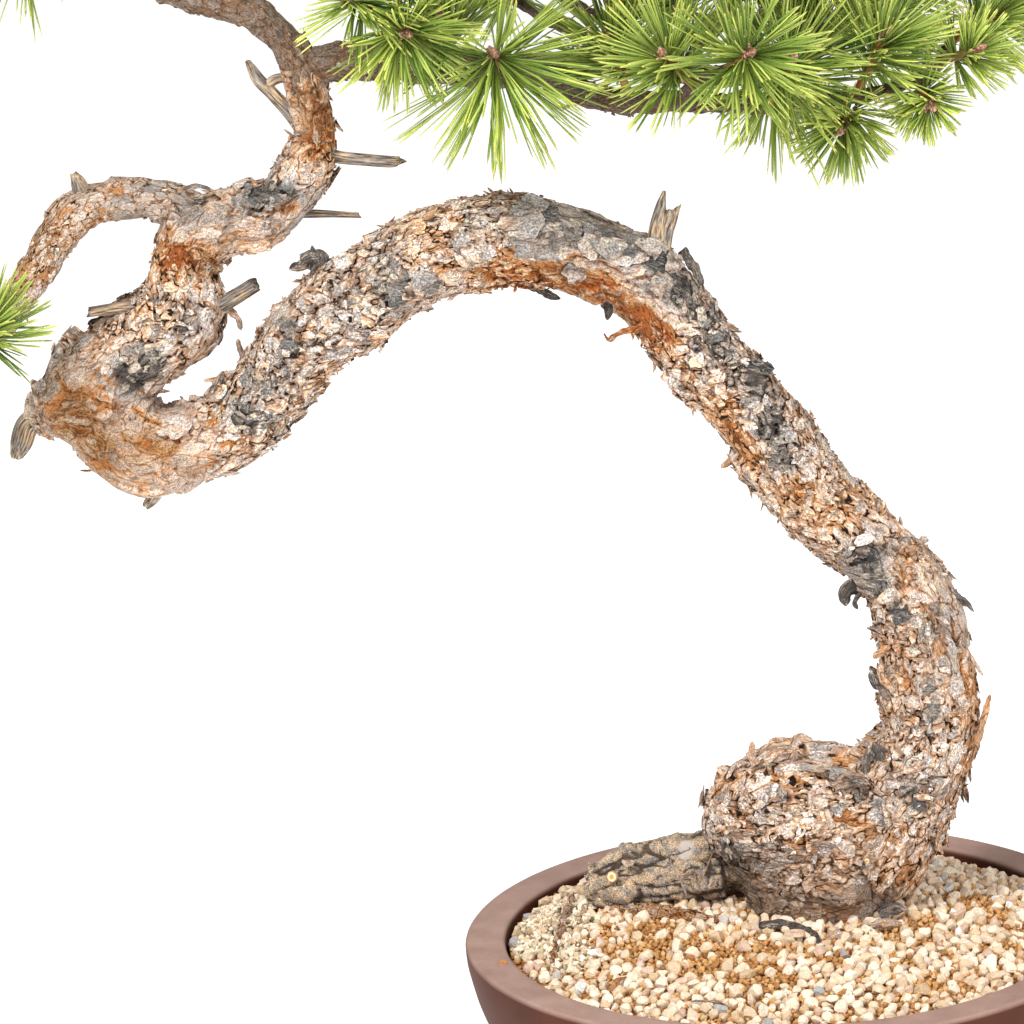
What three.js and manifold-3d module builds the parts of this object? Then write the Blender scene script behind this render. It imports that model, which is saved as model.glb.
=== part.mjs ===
// A Scots pine bonsai in a round, unglazed pot.
// Millimetres, +Z up, +X to the right as the tree is shown, +Y away from the viewer.
// The origin is on the surface that the pot stands on, at the middle of its foot.

import * as THREE from 'three';
import { mergeVertices } from 'three/addons/utils/BufferGeometryUtils.js';
import Module from 'manifold-3d';

const wasm = await Module();
wasm.setup();

// Driving dimensions

const GAP = 0.3; // between two pieces that touch

const POT_RADIUS = 140; // outer edge of the rim
const POT_HEIGHT = 88;
const RIM_WIDTH = 18; // the flat top of the wall
const FOOT_RADIUS = 84;
const FOOT_HEIGHT = 7;
const FLOOR_LEVEL = 19; // top of the pot's floor
const POT_SIDES = 32;

const DRAIN_COUNT = 3;
const DRAIN_RING = 44; // from the middle of the pot to each drain hole
const DRAIN_RADIUS = 8;
const GROOVE_WIDTH = 14;
const GROOVE_DEPTH = 5;
const MESH_SIZE = 30;
const MESH_THICKNESS = 1.4;
const MESH_WINDOW = 6;

const SOIL_EDGE = 84; // level of the soil at the wall
const SOIL_RISE = 13; // how much higher it stands in the middle
const SOIL_RINGS = 10;
const SOIL_SPARE = 1.4; // between the soil's edge and the corners of the wall
const GRAIN_HEIGHT = 1.3;

const PLUG_CENTRE = [17, 8]; // where the trunk enters the soil
const PLUG_RADIUS = 31;
const PLUG_BOTTOM = 46;
const PLUG_TOP = 100;
const PLUG_SIDES = 20;

const TRUNK_SIDES = 12;
const TRUNK_STEP = 14; // between two rings of the trunk
const TRUNK_RELIEF = 2.1; // how far the bark plates lift or sink
const BURL_RELIEF = 2.4;
const ROOT_SIDES = 8;
const ROOT_STEP = 11;
const ROOT_RELIEF = 1.3;
const BRANCH_STEP = 20;
const BRANCH_RELIEF = 0.5;
const SNAG_STEP = 12;
const SNAG_RELIEF = 0.4;
const PLUG_HOLE_SPARE = 0.5; // room round the trunk in the soil
const ROOT_HOLE_SPARE = 2.2; // room round the rough surface root

const BARK_SEED = 7;
const NEEDLE_SEED = 23;
const NEEDLE_LENGTH = 37;
const CORE_RADIUS = 1.9; // the slim stem of a spray
const CORE_SIDES = 5;
const NEEDLE_ROWS = 5; // each row of the core carries ten needles
const NEEDLE_ZONE = 16; // the length of stem that carries them
const BARE_STEM = 2.5; // the least stem below them
const BUD_LENGTH = 7;
const STUB_LENGTH = 4; // how far a side twig stands out of its branch
const LEAN_BELOW = 78; // degrees between the stem and its lowest needles
const LEAN_ABOVE = 26; // and the needles beside the bud
const SPREAD_FIRST = 3; // degrees that a needle strays at the first try
const SPREAD_MORE = 0.9; // and how much more at each next one
const AIM_TRIES = 14;
const FULL_LENGTH_TRIES = 9; // after these a needle is tried shorter
const SHORTER = 0.8;
const CROWDED_PART = 0.22; // of a needle's length, where those of one stem start side by side
const CROWDED_TAPER = 0.4; // how much slimmer a needle is where that part ends
const BARK_SPARE = 1.2; // how far the needles keep from the wood's mean surface, less the gap
const NEEDLE_ROOT_RADIUS = 1.6;
const NEEDLE_TIP_RADIUS = 0.1;

// Centre lines of the wood: x, y, z and radius at each point

const TRUNK_LOWER = [
  [24, 8, 107, 23], [34, 8, 120, 28], [47, 9, 138, 28], [59, 10, 157, 23], [64, 10, 174, 20.5],
  [65, 10, 192, 20], [63, 8, 214, 19.5], [55, 4, 238, 17.5], [41, 0, 255, 16.5], [28, -4, 270, 17],
  [13, -8, 285, 16], [-4, -15, 314, 17], [-12, -17, 328, 16], [-23, -19, 341, 16], [-35, -21, 356, 16],
  [-51, -24, 380, 17], [-70, -25, 390, 16], [-89, -25, 397, 17], [-104, -23, 399, 18], [-121, -19, 398, 19],
  [-137, -15, 393, 18], [-151, -11, 386, 17], [-169, -3, 375, 19], [-181, 1, 367, 19], [-192, 5, 358, 19],
  [-201, 9, 346, 17.5], [-209, 12, 334, 17], [-219, 16, 323, 17], [-233, 21, 313, 16.5], [-247, 25, 308, 17],
  [-262, 29, 306, 19.5], [-279, 33, 311, 19], [-295, 34, 318, 14], [-308, 34, 323, 8], [-315, 34, 325, 4],
];

const TRUNK_UPPER = [
  [-308, 34, 323, 9], [-299, 34, 327, 15], [-289, 34, 335, 21], [-276, 33, 345, 21.5], [-264, 32, 353, 20.5],
  [-253, 30, 362, 18.5], [-247, 27, 372, 17.5], [-243, 23, 387, 14.5], [-237, 19, 400, 15.5],
  [-224, 15, 406, 13.5], [-210, 12, 410, 12.5], [-200, 10, 415, 11.5], [-192, 8, 424, 11],
  [-187, 7, 434, 10.5], [-184, 7, 442, 8.8], [-185, 6, 455, 8], [-186, 5, 472, 8],
];

const BURLS = [
  // centre and half-sizes of the swellings at the foot of the trunk
  { centre: [1, 5, 136], size: [33, 31, 31] },
  { centre: [22, 8, 134], size: [32, 32, 31] },
  { centre: [16, 5, 113], size: [34, 32, 21] },
];

const SURFACE_ROOT = [
  [2, 16, 121, 15], [-20, 20, 115, 14], [-38, 24, 110, 13.5], [-56, 28, 106, 13], [-70, 30, 103, 12],
  [-84, 31, 102, 9.5],
];

// Branches, each with its number of sides

const BRANCHES = {
  leader: { sides: 7, line: [
    [-186, 5, 464, 8], [-193, 4, 480, 7], [-200, 2, 488, 6.3], [-209, 0, 496, 6.2], [-225, -2, 501, 6.2],
    [-244, -4, 510, 6], [-259, -3, 526, 5.4], [-262, 2, 546, 4.8], [-248, 6, 564, 4.2], [-226, 3, 576, 3.4],
    [-204, -4, 582, 2.6],
  ] },
  rightLimb: { sides: 8, line: [
    [-192, 6, 468, 7], [-172, 4, 473, 7.8], [-139, 0, 471, 7.8], [-111, -4, 468, 7.1], [-80, -6, 466, 6.2],
  ] },
  upperRight: { sides: 6, line: [
    [-88, -5, 466, 5.8], [-65, 0, 469, 5.4], [-46, 6, 463, 4.7], [-24, 12, 458, 3.9], [0, 18, 460, 3.3],
    [24, 26, 467, 2.7], [44, 36, 474, 2.2],
  ] },
  lowerRight: { sides: 6, line: [
    [-88, -6, 465, 5.8], [-72, -13, 457, 5.4], [-51, -20, 454, 4.6], [-26, -24, 453, 3.9], [0, -26, 451, 3.4],
    [37, -26, 453, 2.7], [64, -24, 458, 2.3], [72, -22, 463, 2.2], [79, -18, 473, 1.9],
  ] },
  leftBranch: { sides: 8, line: [
    [-232, 19, 405, 9.5], [-249, 17, 416, 8.4], [-264, 14, 419, 8.4], [-278, 10, 419, 9], [-288, 7, 414, 9.4],
    [-296, 5, 405, 9], [-302, 2, 396, 8.5], [-311, -2, 384, 7.6], [-319, -4, 373, 6.8], [-328, -6, 361, 5.4],
    [-342, -9, 348, 4.6], [-358, -12, 339, 3.8], [-376, -15, 335, 3],
  ] },
  riser: { sides: 6, line: [
    [-140, 1, 471, 5.6], [-134, 7, 488, 5.2], [-120, 12, 508, 4.8], [-98, 11, 526, 4.4], [-72, 4, 540, 3.8],
    [-44, -3, 551, 3.2], [-18, -6, 556, 2.6],
  ] },
  crownBack: { sides: 5, line: [
    [-112, 13, 514, 3.6], [-104, 38, 522, 3.2], [-88, 62, 528, 2.7], [-66, 80, 530, 2.1],
  ] },
  crownFront: { sides: 5, line: [
    [-86, 8, 534, 3.3], [-84, -18, 538, 2.9], [-72, -44, 538, 2.4], [-54, -64, 534, 2],
  ] },
  crownLeft: { sides: 5, line: [
    [-132, 9, 492, 3.4], [-146, 22, 508, 3], [-164, 36, 518, 2.5], [-184, 46, 520, 2],
  ] },
  rightTop: { sides: 5, line: [
    [-30, 10, 459, 2.9], [-20, 4, 478, 2.7], [-2, -4, 496, 2.4], [22, -8, 506, 2.1], [44, -8, 508, 1.8],
  ] },
  rightBack: { sides: 5, line: [
    [-6, 17, 460, 2.6], [2, 38, 474, 2.3], [12, 58, 482, 2],
  ] },
  lowerFront: { sides: 5, line: [
    [-34, -23, 453, 2.6], [-28, -42, 464, 2.3], [-16, -58, 472, 1.9],
  ] },
  frontSpur: { sides: 5, line: [
    [-142, 0, 473, 2.9], [-148, -13, 487, 2.5], [-156, -22, 499, 2],
  ] },
  innerTwig: { sides: 5, line: [
    [-57, 3, 466, 2.7], [-55, 10, 478, 2.6], [-68, 16, 486, 2.3], [-82, 22, 494, 2.1], [-96, 30, 506, 1.8],
  ] },
  backTwig: { sides: 5, line: [
    [-58, 6, 470, 2], [-70, 16, 476, 1.9], [-84, 28, 481, 1.8], [-98, 42, 488, 1.7],
  ] },
  leaderLeft: { sides: 5, line: [
    [-252, -4, 516, 4.2], [-272, -8, 522, 3.6], [-294, -12, 526, 3], [-318, -13, 530, 2.3],
  ] },
  leaderBack: { sides: 5, line: [
    [-262, 0, 536, 3.4], [-268, 26, 544, 2.8], [-282, 48, 546, 2.2],
  ] },
  cascadeFront: { sides: 5, line: [
    [-338, -9, 351, 3], [-344, -30, 348, 2.5], [-350, -48, 350, 2],
  ] },
};

// Dead snags, broken off long ago

const SNAGS = [
  { sides: 6, line: [[-46, -24, 392, 4.6], [-43, -24, 404, 4.4], [-40, -24, 417, 3]] },
  { sides: 6, line: [
    [-304, 34, 322, 4.5], [-314, 34, 318, 3.8], [-319, 33, 310, 3.4], [-321, 33, 304, 2.8],
  ] },
  { sides: 5, line: [[-262, 28, 296, 3.6], [-265, 28, 284, 2]] },
  { sides: 5, line: [[-256, 28, 368, 3], [-268, 26, 369, 2.6], [-284, 25, 368, 2]] },
  { sides: 6, line: [[-240, 24, 366, 4], [-227, 20, 371, 3.6], [-214, 18, 378, 3]] },
  { sides: 6, line: [
    [-187, 7, 440, 3.4], [-193, 8, 450, 3], [-201, 8, 460, 2.7], [-207, 8, 467, 2.5], [-211, 8, 474, 1.8],
  ] },
  { sides: 5, line: [[-204, 8, 463, 2.4], [-199, 9, 466, 2.4], [-192, 9, 466, 2]] },
  { sides: 6, line: [[-186, 7, 436, 3.2], [-172, 5, 432, 2.8], [-151, 2, 430, 2.4]] },
  { sides: 5, line: [[-200, 13, 408, 2], [-186, 12, 408, 1.6], [-169, 9, 407, 1.2]] },
  { sides: 5, line: [[-286, 8, 414, 4], [-287, 8, 424, 2.2]] },
];

// Young shoots: where each one leaves its branch, and the tip of its bud

const SHOOTS = [
  // the near side of the crown, as seen
  { from: [-105, -6, 462], to: [-109, -42, 482], needles: 1.12 },
  { from: [-156, -22, 499], to: [-168, -50, 508], needles: 1 },
  { from: [-150, -16, 491], to: [-142, -48, 490], needles: 1 },
  { from: [-120, -3, 470], to: [-130, -24, 498], needles: 1 },
  { from: [-1, -26, 452], to: [13, -50, 475], needles: 1.1 },
  { from: [34, -26, 453], to: [52, -44, 484], needles: 0.95 },
  { from: [38, -26, 453], to: [29, -52, 442], needles: 0.72 },
  { from: [62, -24, 458], to: [68, -52, 450], needles: 0.72 },
  { from: [79, -18, 473], to: [108, -12, 486], needles: 0.85 },
  { from: [72, -22, 463], to: [90, -42, 474], needles: 0.8 },
  { from: [-16, -58, 472], to: [-6, -88, 484], needles: 1 },
  { from: [-30, -36, 461], to: [-42, -62, 482], needles: 0.9 },
  { from: [-50, -20, 455], to: [-64, -28, 486], needles: 0.85 },
  { from: [14, -26, 451], to: [23, -10, 485], needles: 0.9 },
  // the right half of the crown
  { from: [44, 36, 474], to: [68, 62, 490], needles: 1 },
  { from: [22, 25, 466], to: [56, 14, 478], needles: 1 },
  { from: [0, 18, 460], to: [14, 40, 442], needles: 0.8 },
  { from: [44, -8, 508], to: [80, -10, 520], needles: 1 },
  { from: [20, -8, 505], to: [30, -40, 516], needles: 1 },
  { from: [24, -8, 506], to: [32, 24, 524], needles: 1 },
  { from: [-4, -3, 494], to: [-14, -32, 512], needles: 1 },
  { from: [-20, 4, 478], to: [-42, -20, 500], needles: 1 },
  { from: [12, 58, 482], to: [22, 92, 500], needles: 1 },
  // the top of the crown
  { from: [-18, -6, 556], to: [18, -10, 572], needles: 1 },
  { from: [-40, -4, 552], to: [-34, 20, 584], needles: 1 },
  { from: [-46, -3, 550], to: [-56, -30, 576], needles: 1 },
  { from: [-72, 4, 540], to: [-84, 26, 570], needles: 1 },
  { from: [-24, -5, 555], to: [-6, -34, 546], needles: 1 },
  { from: [-66, 80, 530], to: [-36, 96, 552], needles: 1 },
  { from: [-88, 62, 528], to: [-114, 82, 550], needles: 1 },
  { from: [-82, 66, 529], to: [-56, 58, 560], needles: 1 },
  { from: [-54, -64, 534], to: [-26, -84, 548], needles: 1 },
  { from: [-72, -44, 538], to: [-98, -64, 556], needles: 1 },
  { from: [-66, -50, 537], to: [-42, -40, 568], needles: 1 },
  { from: [-96, 30, 506], to: [-131, 36, 512], needles: 0.9 },
  { from: [-98, 42, 488], to: [-108, 76, 496], needles: 1 },
  { from: [-184, 46, 520], to: [-216, 62, 536], needles: 1 },
  { from: [-162, 35, 517], to: [-152, 54, 548], needles: 1 },
  { from: [-122, 12, 506], to: [-152, -8, 530], needles: 1 },
  // the left top
  { from: [-204, -4, 582], to: [-172, -12, 600], needles: 1 },
  { from: [-226, 3, 576], to: [-222, 26, 606], needles: 1 },
  { from: [-248, 6, 564], to: [-260, -18, 592], needles: 1 },
  { from: [-318, -13, 530], to: [-352, -14, 546], needles: 1 },
  { from: [-294, -12, 526], to: [-302, -42, 534], needles: 1 },
  { from: [-282, 48, 546], to: [-302, 76, 560], needles: 1 },
  // the end of the left branch
  { from: [-376, -15, 335], to: [-412, -18, 344], needles: 1 },
  { from: [-350, -48, 350], to: [-352, -84, 360], needles: 1 },
  { from: [-358, -12, 339], to: [-372, 14, 362], needles: 1 },
  { from: [-326, -6, 363], to: [-324, -38, 376], needles: 0.9 },
];

// Solids

// A closed mesh as a solid of the joining library, with its shared corners merged.
function solidOf(geometry) {
  const bare = geometry.clone();
  bare.deleteAttribute('normal');
  bare.deleteAttribute('uv');
  const merged = mergeVertices(bare, 1e-4);
  return new wasm.Manifold(new wasm.Mesh({
    numProp: 3,
    vertProperties: new Float32Array(merged.attributes.position.array),
    triVerts: new Uint32Array(merged.index.array),
  }));
}

function geometryOf(solid) {
  const mesh = solid.getMesh();
  const geometry = new THREE.BufferGeometry();
  geometry.setAttribute('position', new THREE.BufferAttribute(mesh.vertProperties, 3));
  geometry.setIndex(new THREE.BufferAttribute(mesh.triVerts, 1));
  geometry.computeVertexNormals();
  return geometry;
}

// A closed mesh from a list of corners and a list of triangles.
function meshOf(corners, triangles) {
  const geometry = new THREE.BufferGeometry();
  geometry.setAttribute('position', new THREE.Float32BufferAttribute(corners.flat(), 3));
  geometry.setIndex(triangles.flat());
  geometry.computeVertexNormals();
  return geometry;
}

// A repeatable number from 0 to 1 for each pair of whole numbers.
function chance(a, b, seed) {
  let h = Math.imul(a, 374761393) + Math.imul(b, 668265263) + Math.imul(seed, 2147483647);
  h = Math.imul(h ^ (h >>> 13), 1274126177);
  h = Math.imul(h ^ (h >>> 16), 2246822519);
  return ((h ^ (h >>> 15)) >>> 0) / 4294967296;
}

// Wood

// Evenly spaced stations along a line of points with radii, each with its own frame.
function stationsAlong(line, step) {
  const curve = new THREE.CatmullRomCurve3(line.map(([x, y, z]) => new THREE.Vector3(x, y, z)));
  const count = Math.max(2, Math.round(curve.getLength() / step));
  const frames = curve.computeFrenetFrames(count, false);
  const stations = [];
  for (let i = 0; i <= count; i += 1) {
    const place = curve.getUtoTmapping(i / count) * (line.length - 1);
    const before = Math.min(Math.floor(place), line.length - 2);
    const radius = THREE.MathUtils.lerp(line[before][3], line[before + 1][3], place - before);
    stations.push({
      centre: curve.getPointAt(i / count),
      along: frames.tangents[i],
      side: frames.normals[i],
      up: frames.binormals[i],
      radius,
    });
  }
  return stations;
}

// A round limb through its stations. Bark lifts or sinks each corner by up to relief.
function limbGeometry(stations, sides, relief, seed, spare = 0) {
  const corners = [];
  const triangles = [];
  stations.forEach((station, i) => {
    for (let j = 0; j < sides; j += 1) {
      const angle = ((j + 0.5 * (i % 2)) / sides) * Math.PI * 2;
      const lift = relief * (2 * chance(i, j, seed) - 1);
      const reach = station.radius + Math.min(lift, station.radius * 0.2) + spare;
      const corner = station.centre.clone()
        .addScaledVector(station.side, Math.cos(angle) * reach)
        .addScaledVector(station.up, Math.sin(angle) * reach);
      corners.push(corner.toArray());
    }
  });
  for (let i = 0; i < stations.length - 1; i += 1) {
    for (let j = 0; j < sides; j += 1) {
      const a = i * sides + j;
      const b = i * sides + ((j + 1) % sides);
      const c = a + sides;
      const d = b + sides;
      if (i % 2 === 0) triangles.push([a, b, c], [b, d, c]);
      else triangles.push([a, b, d], [a, d, c]);
    }
  }
  const first = corners.length;
  const last = first + 1;
  const end = (stations.length - 1) * sides;
  corners.push(endOf(stations[0], -spare), endOf(stations[stations.length - 1], spare));
  for (let j = 0; j < sides; j += 1) {
    const k = (j + 1) % sides;
    triangles.push([first, k, j], [last, end + j, end + k]);
  }
  return meshOf(corners, triangles);
}

function endOf(station, spare) {
  return station.centre.clone().addScaledVector(station.along, spare).toArray();
}

// A swelling: a ball stretched to its half-sizes, with rough bark.
function burlGeometry({ centre, size }, relief, seed) {
  const ball = new THREE.IcosahedronGeometry(1, 2);
  ball.deleteAttribute('normal');
  ball.deleteAttribute('uv');
  const geometry = mergeVertices(ball, 1e-4);
  const corners = geometry.attributes.position;
  for (let i = 0; i < corners.count; i += 1) {
    const lift = 1 + (relief * (2 * chance(i, 1, seed) - 1)) / size[0];
    corners.setXYZ(
      i,
      centre[0] + corners.getX(i) * size[0] * lift,
      centre[1] + corners.getY(i) * size[1] * lift,
      centre[2] + corners.getZ(i) * size[2] * lift,
    );
  }
  return geometry;
}

// The straight plug of trunk that stands in the soil, or with spare the hole for it.
function plugGeometry(spare, top) {
  const profile = [
    [0, PLUG_BOTTOM - spare],
    [PLUG_RADIUS * 0.7 + spare, PLUG_BOTTOM - spare],
    [PLUG_RADIUS * 0.9 + spare, PLUG_BOTTOM + 20],
    [PLUG_RADIUS + spare, PLUG_BOTTOM + 42],
    [PLUG_RADIUS + spare, top],
    [0, top],
  ];
  const plug = new THREE.LatheGeometry(profile.map(([r, z]) => new THREE.Vector2(r, z)), PLUG_SIDES);
  plug.rotateX(Math.PI / 2);
  plug.translate(PLUG_CENTRE[0], PLUG_CENTRE[1], 0);
  return plug;
}

// Where a shoot starts, where it points and how long it is.
function shootFrame({ from, to, needles }) {
  const start = new THREE.Vector3(...from);
  const tip = new THREE.Vector3(...to);
  const along = tip.clone().sub(start).normalize();
  const side = new THREE.Vector3(0, 0, 1).cross(along);
  if (side.length() < 0.1) side.set(1, 0, 0).cross(along);
  side.normalize();
  const up = along.clone().cross(side);
  return { start, tip, along, side, up, length: tip.distanceTo(start), needles };
}

function branchRadiusAt(point, limbs) {
  const all = limbs.flat();
  const distances = all.map((station) => station.centre.distanceTo(point));
  return all[distances.indexOf(Math.min(...distances))].radius;
}

// The foot of a shoot, which is one with the branch.
function shootFootGeometry({ start, along, side, up, foot }) {
  const ends = [0, foot].map((level) => ({
    centre: start.clone().addScaledVector(along, level),
    along,
    side,
    up,
    radius: CORE_RADIUS,
  }));
  return limbGeometry(ends, CORE_SIDES, 0, 0);
}

// Needles

// The clear distance between two tapered rods.
function segmentGap(a, b) {
  const u = a.tip.clone().sub(a.root);
  const v = b.tip.clone().sub(b.root);
  const w = a.root.clone().sub(b.root);
  const uu = u.dot(u);
  const uv = u.dot(v);
  const vv = v.dot(v);
  const uw = u.dot(w);
  const vw = v.dot(w);
  const det = uu * vv - uv * uv;
  let s = det > 1e-6 ? THREE.MathUtils.clamp((uv * vw - vv * uw) / det, 0, 1) : 0;
  let t = (uv * s + vw) / vv;
  t = THREE.MathUtils.clamp(t, 0, 1);
  s = THREE.MathUtils.clamp((uv * t - uw) / uu, 0, 1);
  const apart = w.addScaledVector(u, s).addScaledVector(v, -t).length();
  const thickA = THREE.MathUtils.lerp(a.rootRadius, a.tipRadius, s);
  const thickB = THREE.MathUtils.lerp(b.rootRadius, b.tipRadius, t);
  return apart - thickA - thickB;
}

// The part of a needle that is clear of the stem's other needles where they start together.
function outerPart({ root, tip, rootRadius, tipRadius }) {
  return {
    root: root.clone().lerp(tip, CROWDED_PART),
    tip,
    rootRadius: THREE.MathUtils.lerp(rootRadius, tipRadius, CROWDED_TAPER),
    tipRadius,
  };
}

// Whether a needle stays clear of everything that is already in place. It starts on its own
// stem, and beside the other needles there.
function isClear(needle, placed) {
  return placed.every((other) => {
    if (other.owner === needle.owner) {
      return other.isStem || segmentGap(outerPart(needle), outerPart(other)) > 0;
    }
    const apart = other.middle.distanceTo(needle.middle);
    if (apart > needle.reach + other.reach + GAP) return true;
    return segmentGap(needle, other) > GAP;
  });
}

function withBounds(segment) {
  segment.middle = segment.root.clone().add(segment.tip).multiplyScalar(0.5);
  segment.reach = segment.root.distanceTo(segment.tip) / 2 + segment.rootRadius;
  return segment;
}

// A spray: a slim five-sided stem whose rows turn half a side each, so that it is covered
// by triangles. A needle is a triangle of the stem raised to a point.
function sprayGeometry(shoot, placed) {
  const { start, along, side, up, foot, number } = shoot;
  const levels = [foot + GAP, shoot.zoneStart];
  for (let row = 1; row <= NEEDLE_ROWS; row += 1) {
    levels.push(shoot.zoneStart + (row / NEEDLE_ROWS) * shoot.zone);
  }
  const corners = [];
  levels.forEach((level, i) => {
    for (let j = 0; j < CORE_SIDES; j += 1) {
      const angle = ((j + 0.5 * (i % 2)) / CORE_SIDES) * Math.PI * 2;
      corners.push(start.clone()
        .addScaledVector(along, level)
        .addScaledVector(side, Math.cos(angle) * CORE_RADIUS)
        .addScaledVector(up, Math.sin(angle) * CORE_RADIUS));
    }
  });
  const triangles = [];
  for (let i = 0; i < levels.length - 1; i += 1) {
    for (let j = 0; j < CORE_SIDES; j += 1) {
      const a = i * CORE_SIDES + j;
      const b = i * CORE_SIDES + ((j + 1) % CORE_SIDES);
      const c = a + CORE_SIDES;
      const d = b + CORE_SIDES;
      const pair = i % 2 === 0 ? [[a, b, c], [b, d, c]] : [[a, b, d], [a, d, c]];
      pair.forEach((triangle, half) => {
        const key = number * 64 + i * 10 + j * 2 + half;
        const needle = i > 0 ? aimNeedle(shoot, corners, triangle, key, placed) : null;
        if (!needle) {
          triangles.push(triangle);
          return;
        }
        placed.push(needle);
        const apex = corners.length;
        corners.push(needle.tip);
        triangle.forEach((corner, k) => triangles.push([corner, triangle[(k + 1) % 3], apex]));
      });
    }
  }
  const lastRing = (levels.length - 1) * CORE_SIDES;
  const cut = corners.length;
  const bud = cut + 1;
  corners.push(start.clone().addScaledVector(along, levels[0]), shoot.tip.clone());
  for (let j = 0; j < CORE_SIDES; j += 1) {
    const k = (j + 1) % CORE_SIDES;
    triangles.push([cut, k, j], [bud, lastRing + j, lastRing + k]);
  }
  return meshOf(corners.map((corner) => corner.toArray()), triangles);
}

// The needle on one triangle of the stem. It leans outwards, less so towards the bud.
// If its way is blocked it is bent a little or made shorter, and left out if that fails.
function aimNeedle(shoot, corners, triangle, key, placed) {
  const root = new THREE.Vector3();
  triangle.forEach((corner) => root.addScaledVector(corners[corner], 1 / 3));
  const height = root.clone().sub(shoot.start).dot(shoot.along);
  const outward = root.clone().sub(shoot.start).addScaledVector(shoot.along, -height).normalize();
  const around = shoot.along.clone().cross(outward);
  const part = (height - shoot.zoneStart) / shoot.zone;
  for (let attempt = 0; attempt < AIM_TRIES; attempt += 1) {
    const spread = SPREAD_FIRST + attempt * SPREAD_MORE;
    const leanShift = spread * (2 * chance(key, attempt, NEEDLE_SEED) - 1);
    const turnShift = spread * (2 * chance(key, attempt + 50, NEEDLE_SEED) - 1);
    const lean = THREE.MathUtils.degToRad(THREE.MathUtils.lerp(LEAN_BELOW, LEAN_ABOVE, part) + leanShift);
    const turn = THREE.MathUtils.degToRad(turnShift);
    const full = NEEDLE_LENGTH * shoot.needles * (0.9 + 0.2 * chance(key, 99, NEEDLE_SEED));
    const size = attempt < FULL_LENGTH_TRIES ? full : full * SHORTER;
    const aim = outward.clone().multiplyScalar(Math.sin(lean) * Math.cos(turn))
      .addScaledVector(around, Math.sin(lean) * Math.sin(turn))
      .addScaledVector(shoot.along, Math.cos(lean));
    const needle = withBounds({
      root,
      tip: root.clone().addScaledVector(aim, size),
      rootRadius: NEEDLE_ROOT_RADIUS,
      tipRadius: NEEDLE_TIP_RADIUS,
      owner: shoot.number,
    });
    if (isClear(needle, placed)) return needle;
  }
  return null;
}

// Pot

function potGeometry() {
  const inner = POT_RADIUS - RIM_WIDTH;
  const profile = [
    [0, 0],
    [FOOT_RADIUS - 1, 0],
    [FOOT_RADIUS, 1],
    [FOOT_RADIUS, FOOT_HEIGHT],
    [FOOT_RADIUS + 8, FOOT_HEIGHT],
    [100, 13],
    [113, 25],
    [125, 42],
    [134, 60],
    [POT_RADIUS - 1, 77],
    [POT_RADIUS, POT_HEIGHT - 2],
    [POT_RADIUS - 2, POT_HEIGHT],
    [inner + 1.5, POT_HEIGHT],
    [inner, POT_HEIGHT - 1.5],
    [inner - 2, 68],
    [inner - 7, 50],
    [inner - 17, 33],
    [inner - 33, FLOOR_LEVEL + 2],
    [inner - 42, FLOOR_LEVEL],
    [0, FLOOR_LEVEL],
  ];
  const bowl = new THREE.LatheGeometry(profile.map(([r, z]) => new THREE.Vector2(r, z)), POT_SIDES);
  bowl.rotateX(Math.PI / 2);
  let pot = solidOf(bowl);
  drainAngles().forEach((angle) => {
    const hole = new THREE.CylinderGeometry(DRAIN_RADIUS, DRAIN_RADIUS, FLOOR_LEVEL * 3, 14);
    hole.rotateX(Math.PI / 2);
    hole.translate(DRAIN_RING, 0, 0);
    hole.rotateZ(angle);
    const groove = new THREE.BoxGeometry(FOOT_RADIUS, GROOVE_WIDTH, GROOVE_DEPTH * 2);
    groove.translate(DRAIN_RING + FOOT_RADIUS / 2, 0, 0);
    groove.rotateZ(angle);
    pot = pot.subtract(solidOf(hole)).subtract(solidOf(groove));
  });
  return geometryOf(pot);
}

function drainAngles() {
  return Array.from({ length: DRAIN_COUNT }, (_, i) => Math.PI / 2 + (i * Math.PI * 2) / DRAIN_COUNT);
}

// A plastic mesh plate that lies over one drain hole.
function drainMeshGeometry(angle) {
  let plate = solidOf(new THREE.BoxGeometry(MESH_SIZE, MESH_SIZE, MESH_THICKNESS));
  const shift = MESH_WINDOW / 2 + 1;
  [[-1, -1], [1, -1], [-1, 1], [1, 1]].forEach(([column, row]) => {
    const window = new THREE.BoxGeometry(MESH_WINDOW, MESH_WINDOW, MESH_THICKNESS * 3);
    window.translate(column * shift, row * shift, 0);
    plate = plate.subtract(solidOf(window));
  });
  const geometry = geometryOf(plate);
  geometry.translate(DRAIN_RING, 0, FLOOR_LEVEL + GAP + MESH_THICKNESS / 2);
  geometry.rotateZ(angle);
  return geometry;
}

// Soil

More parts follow.
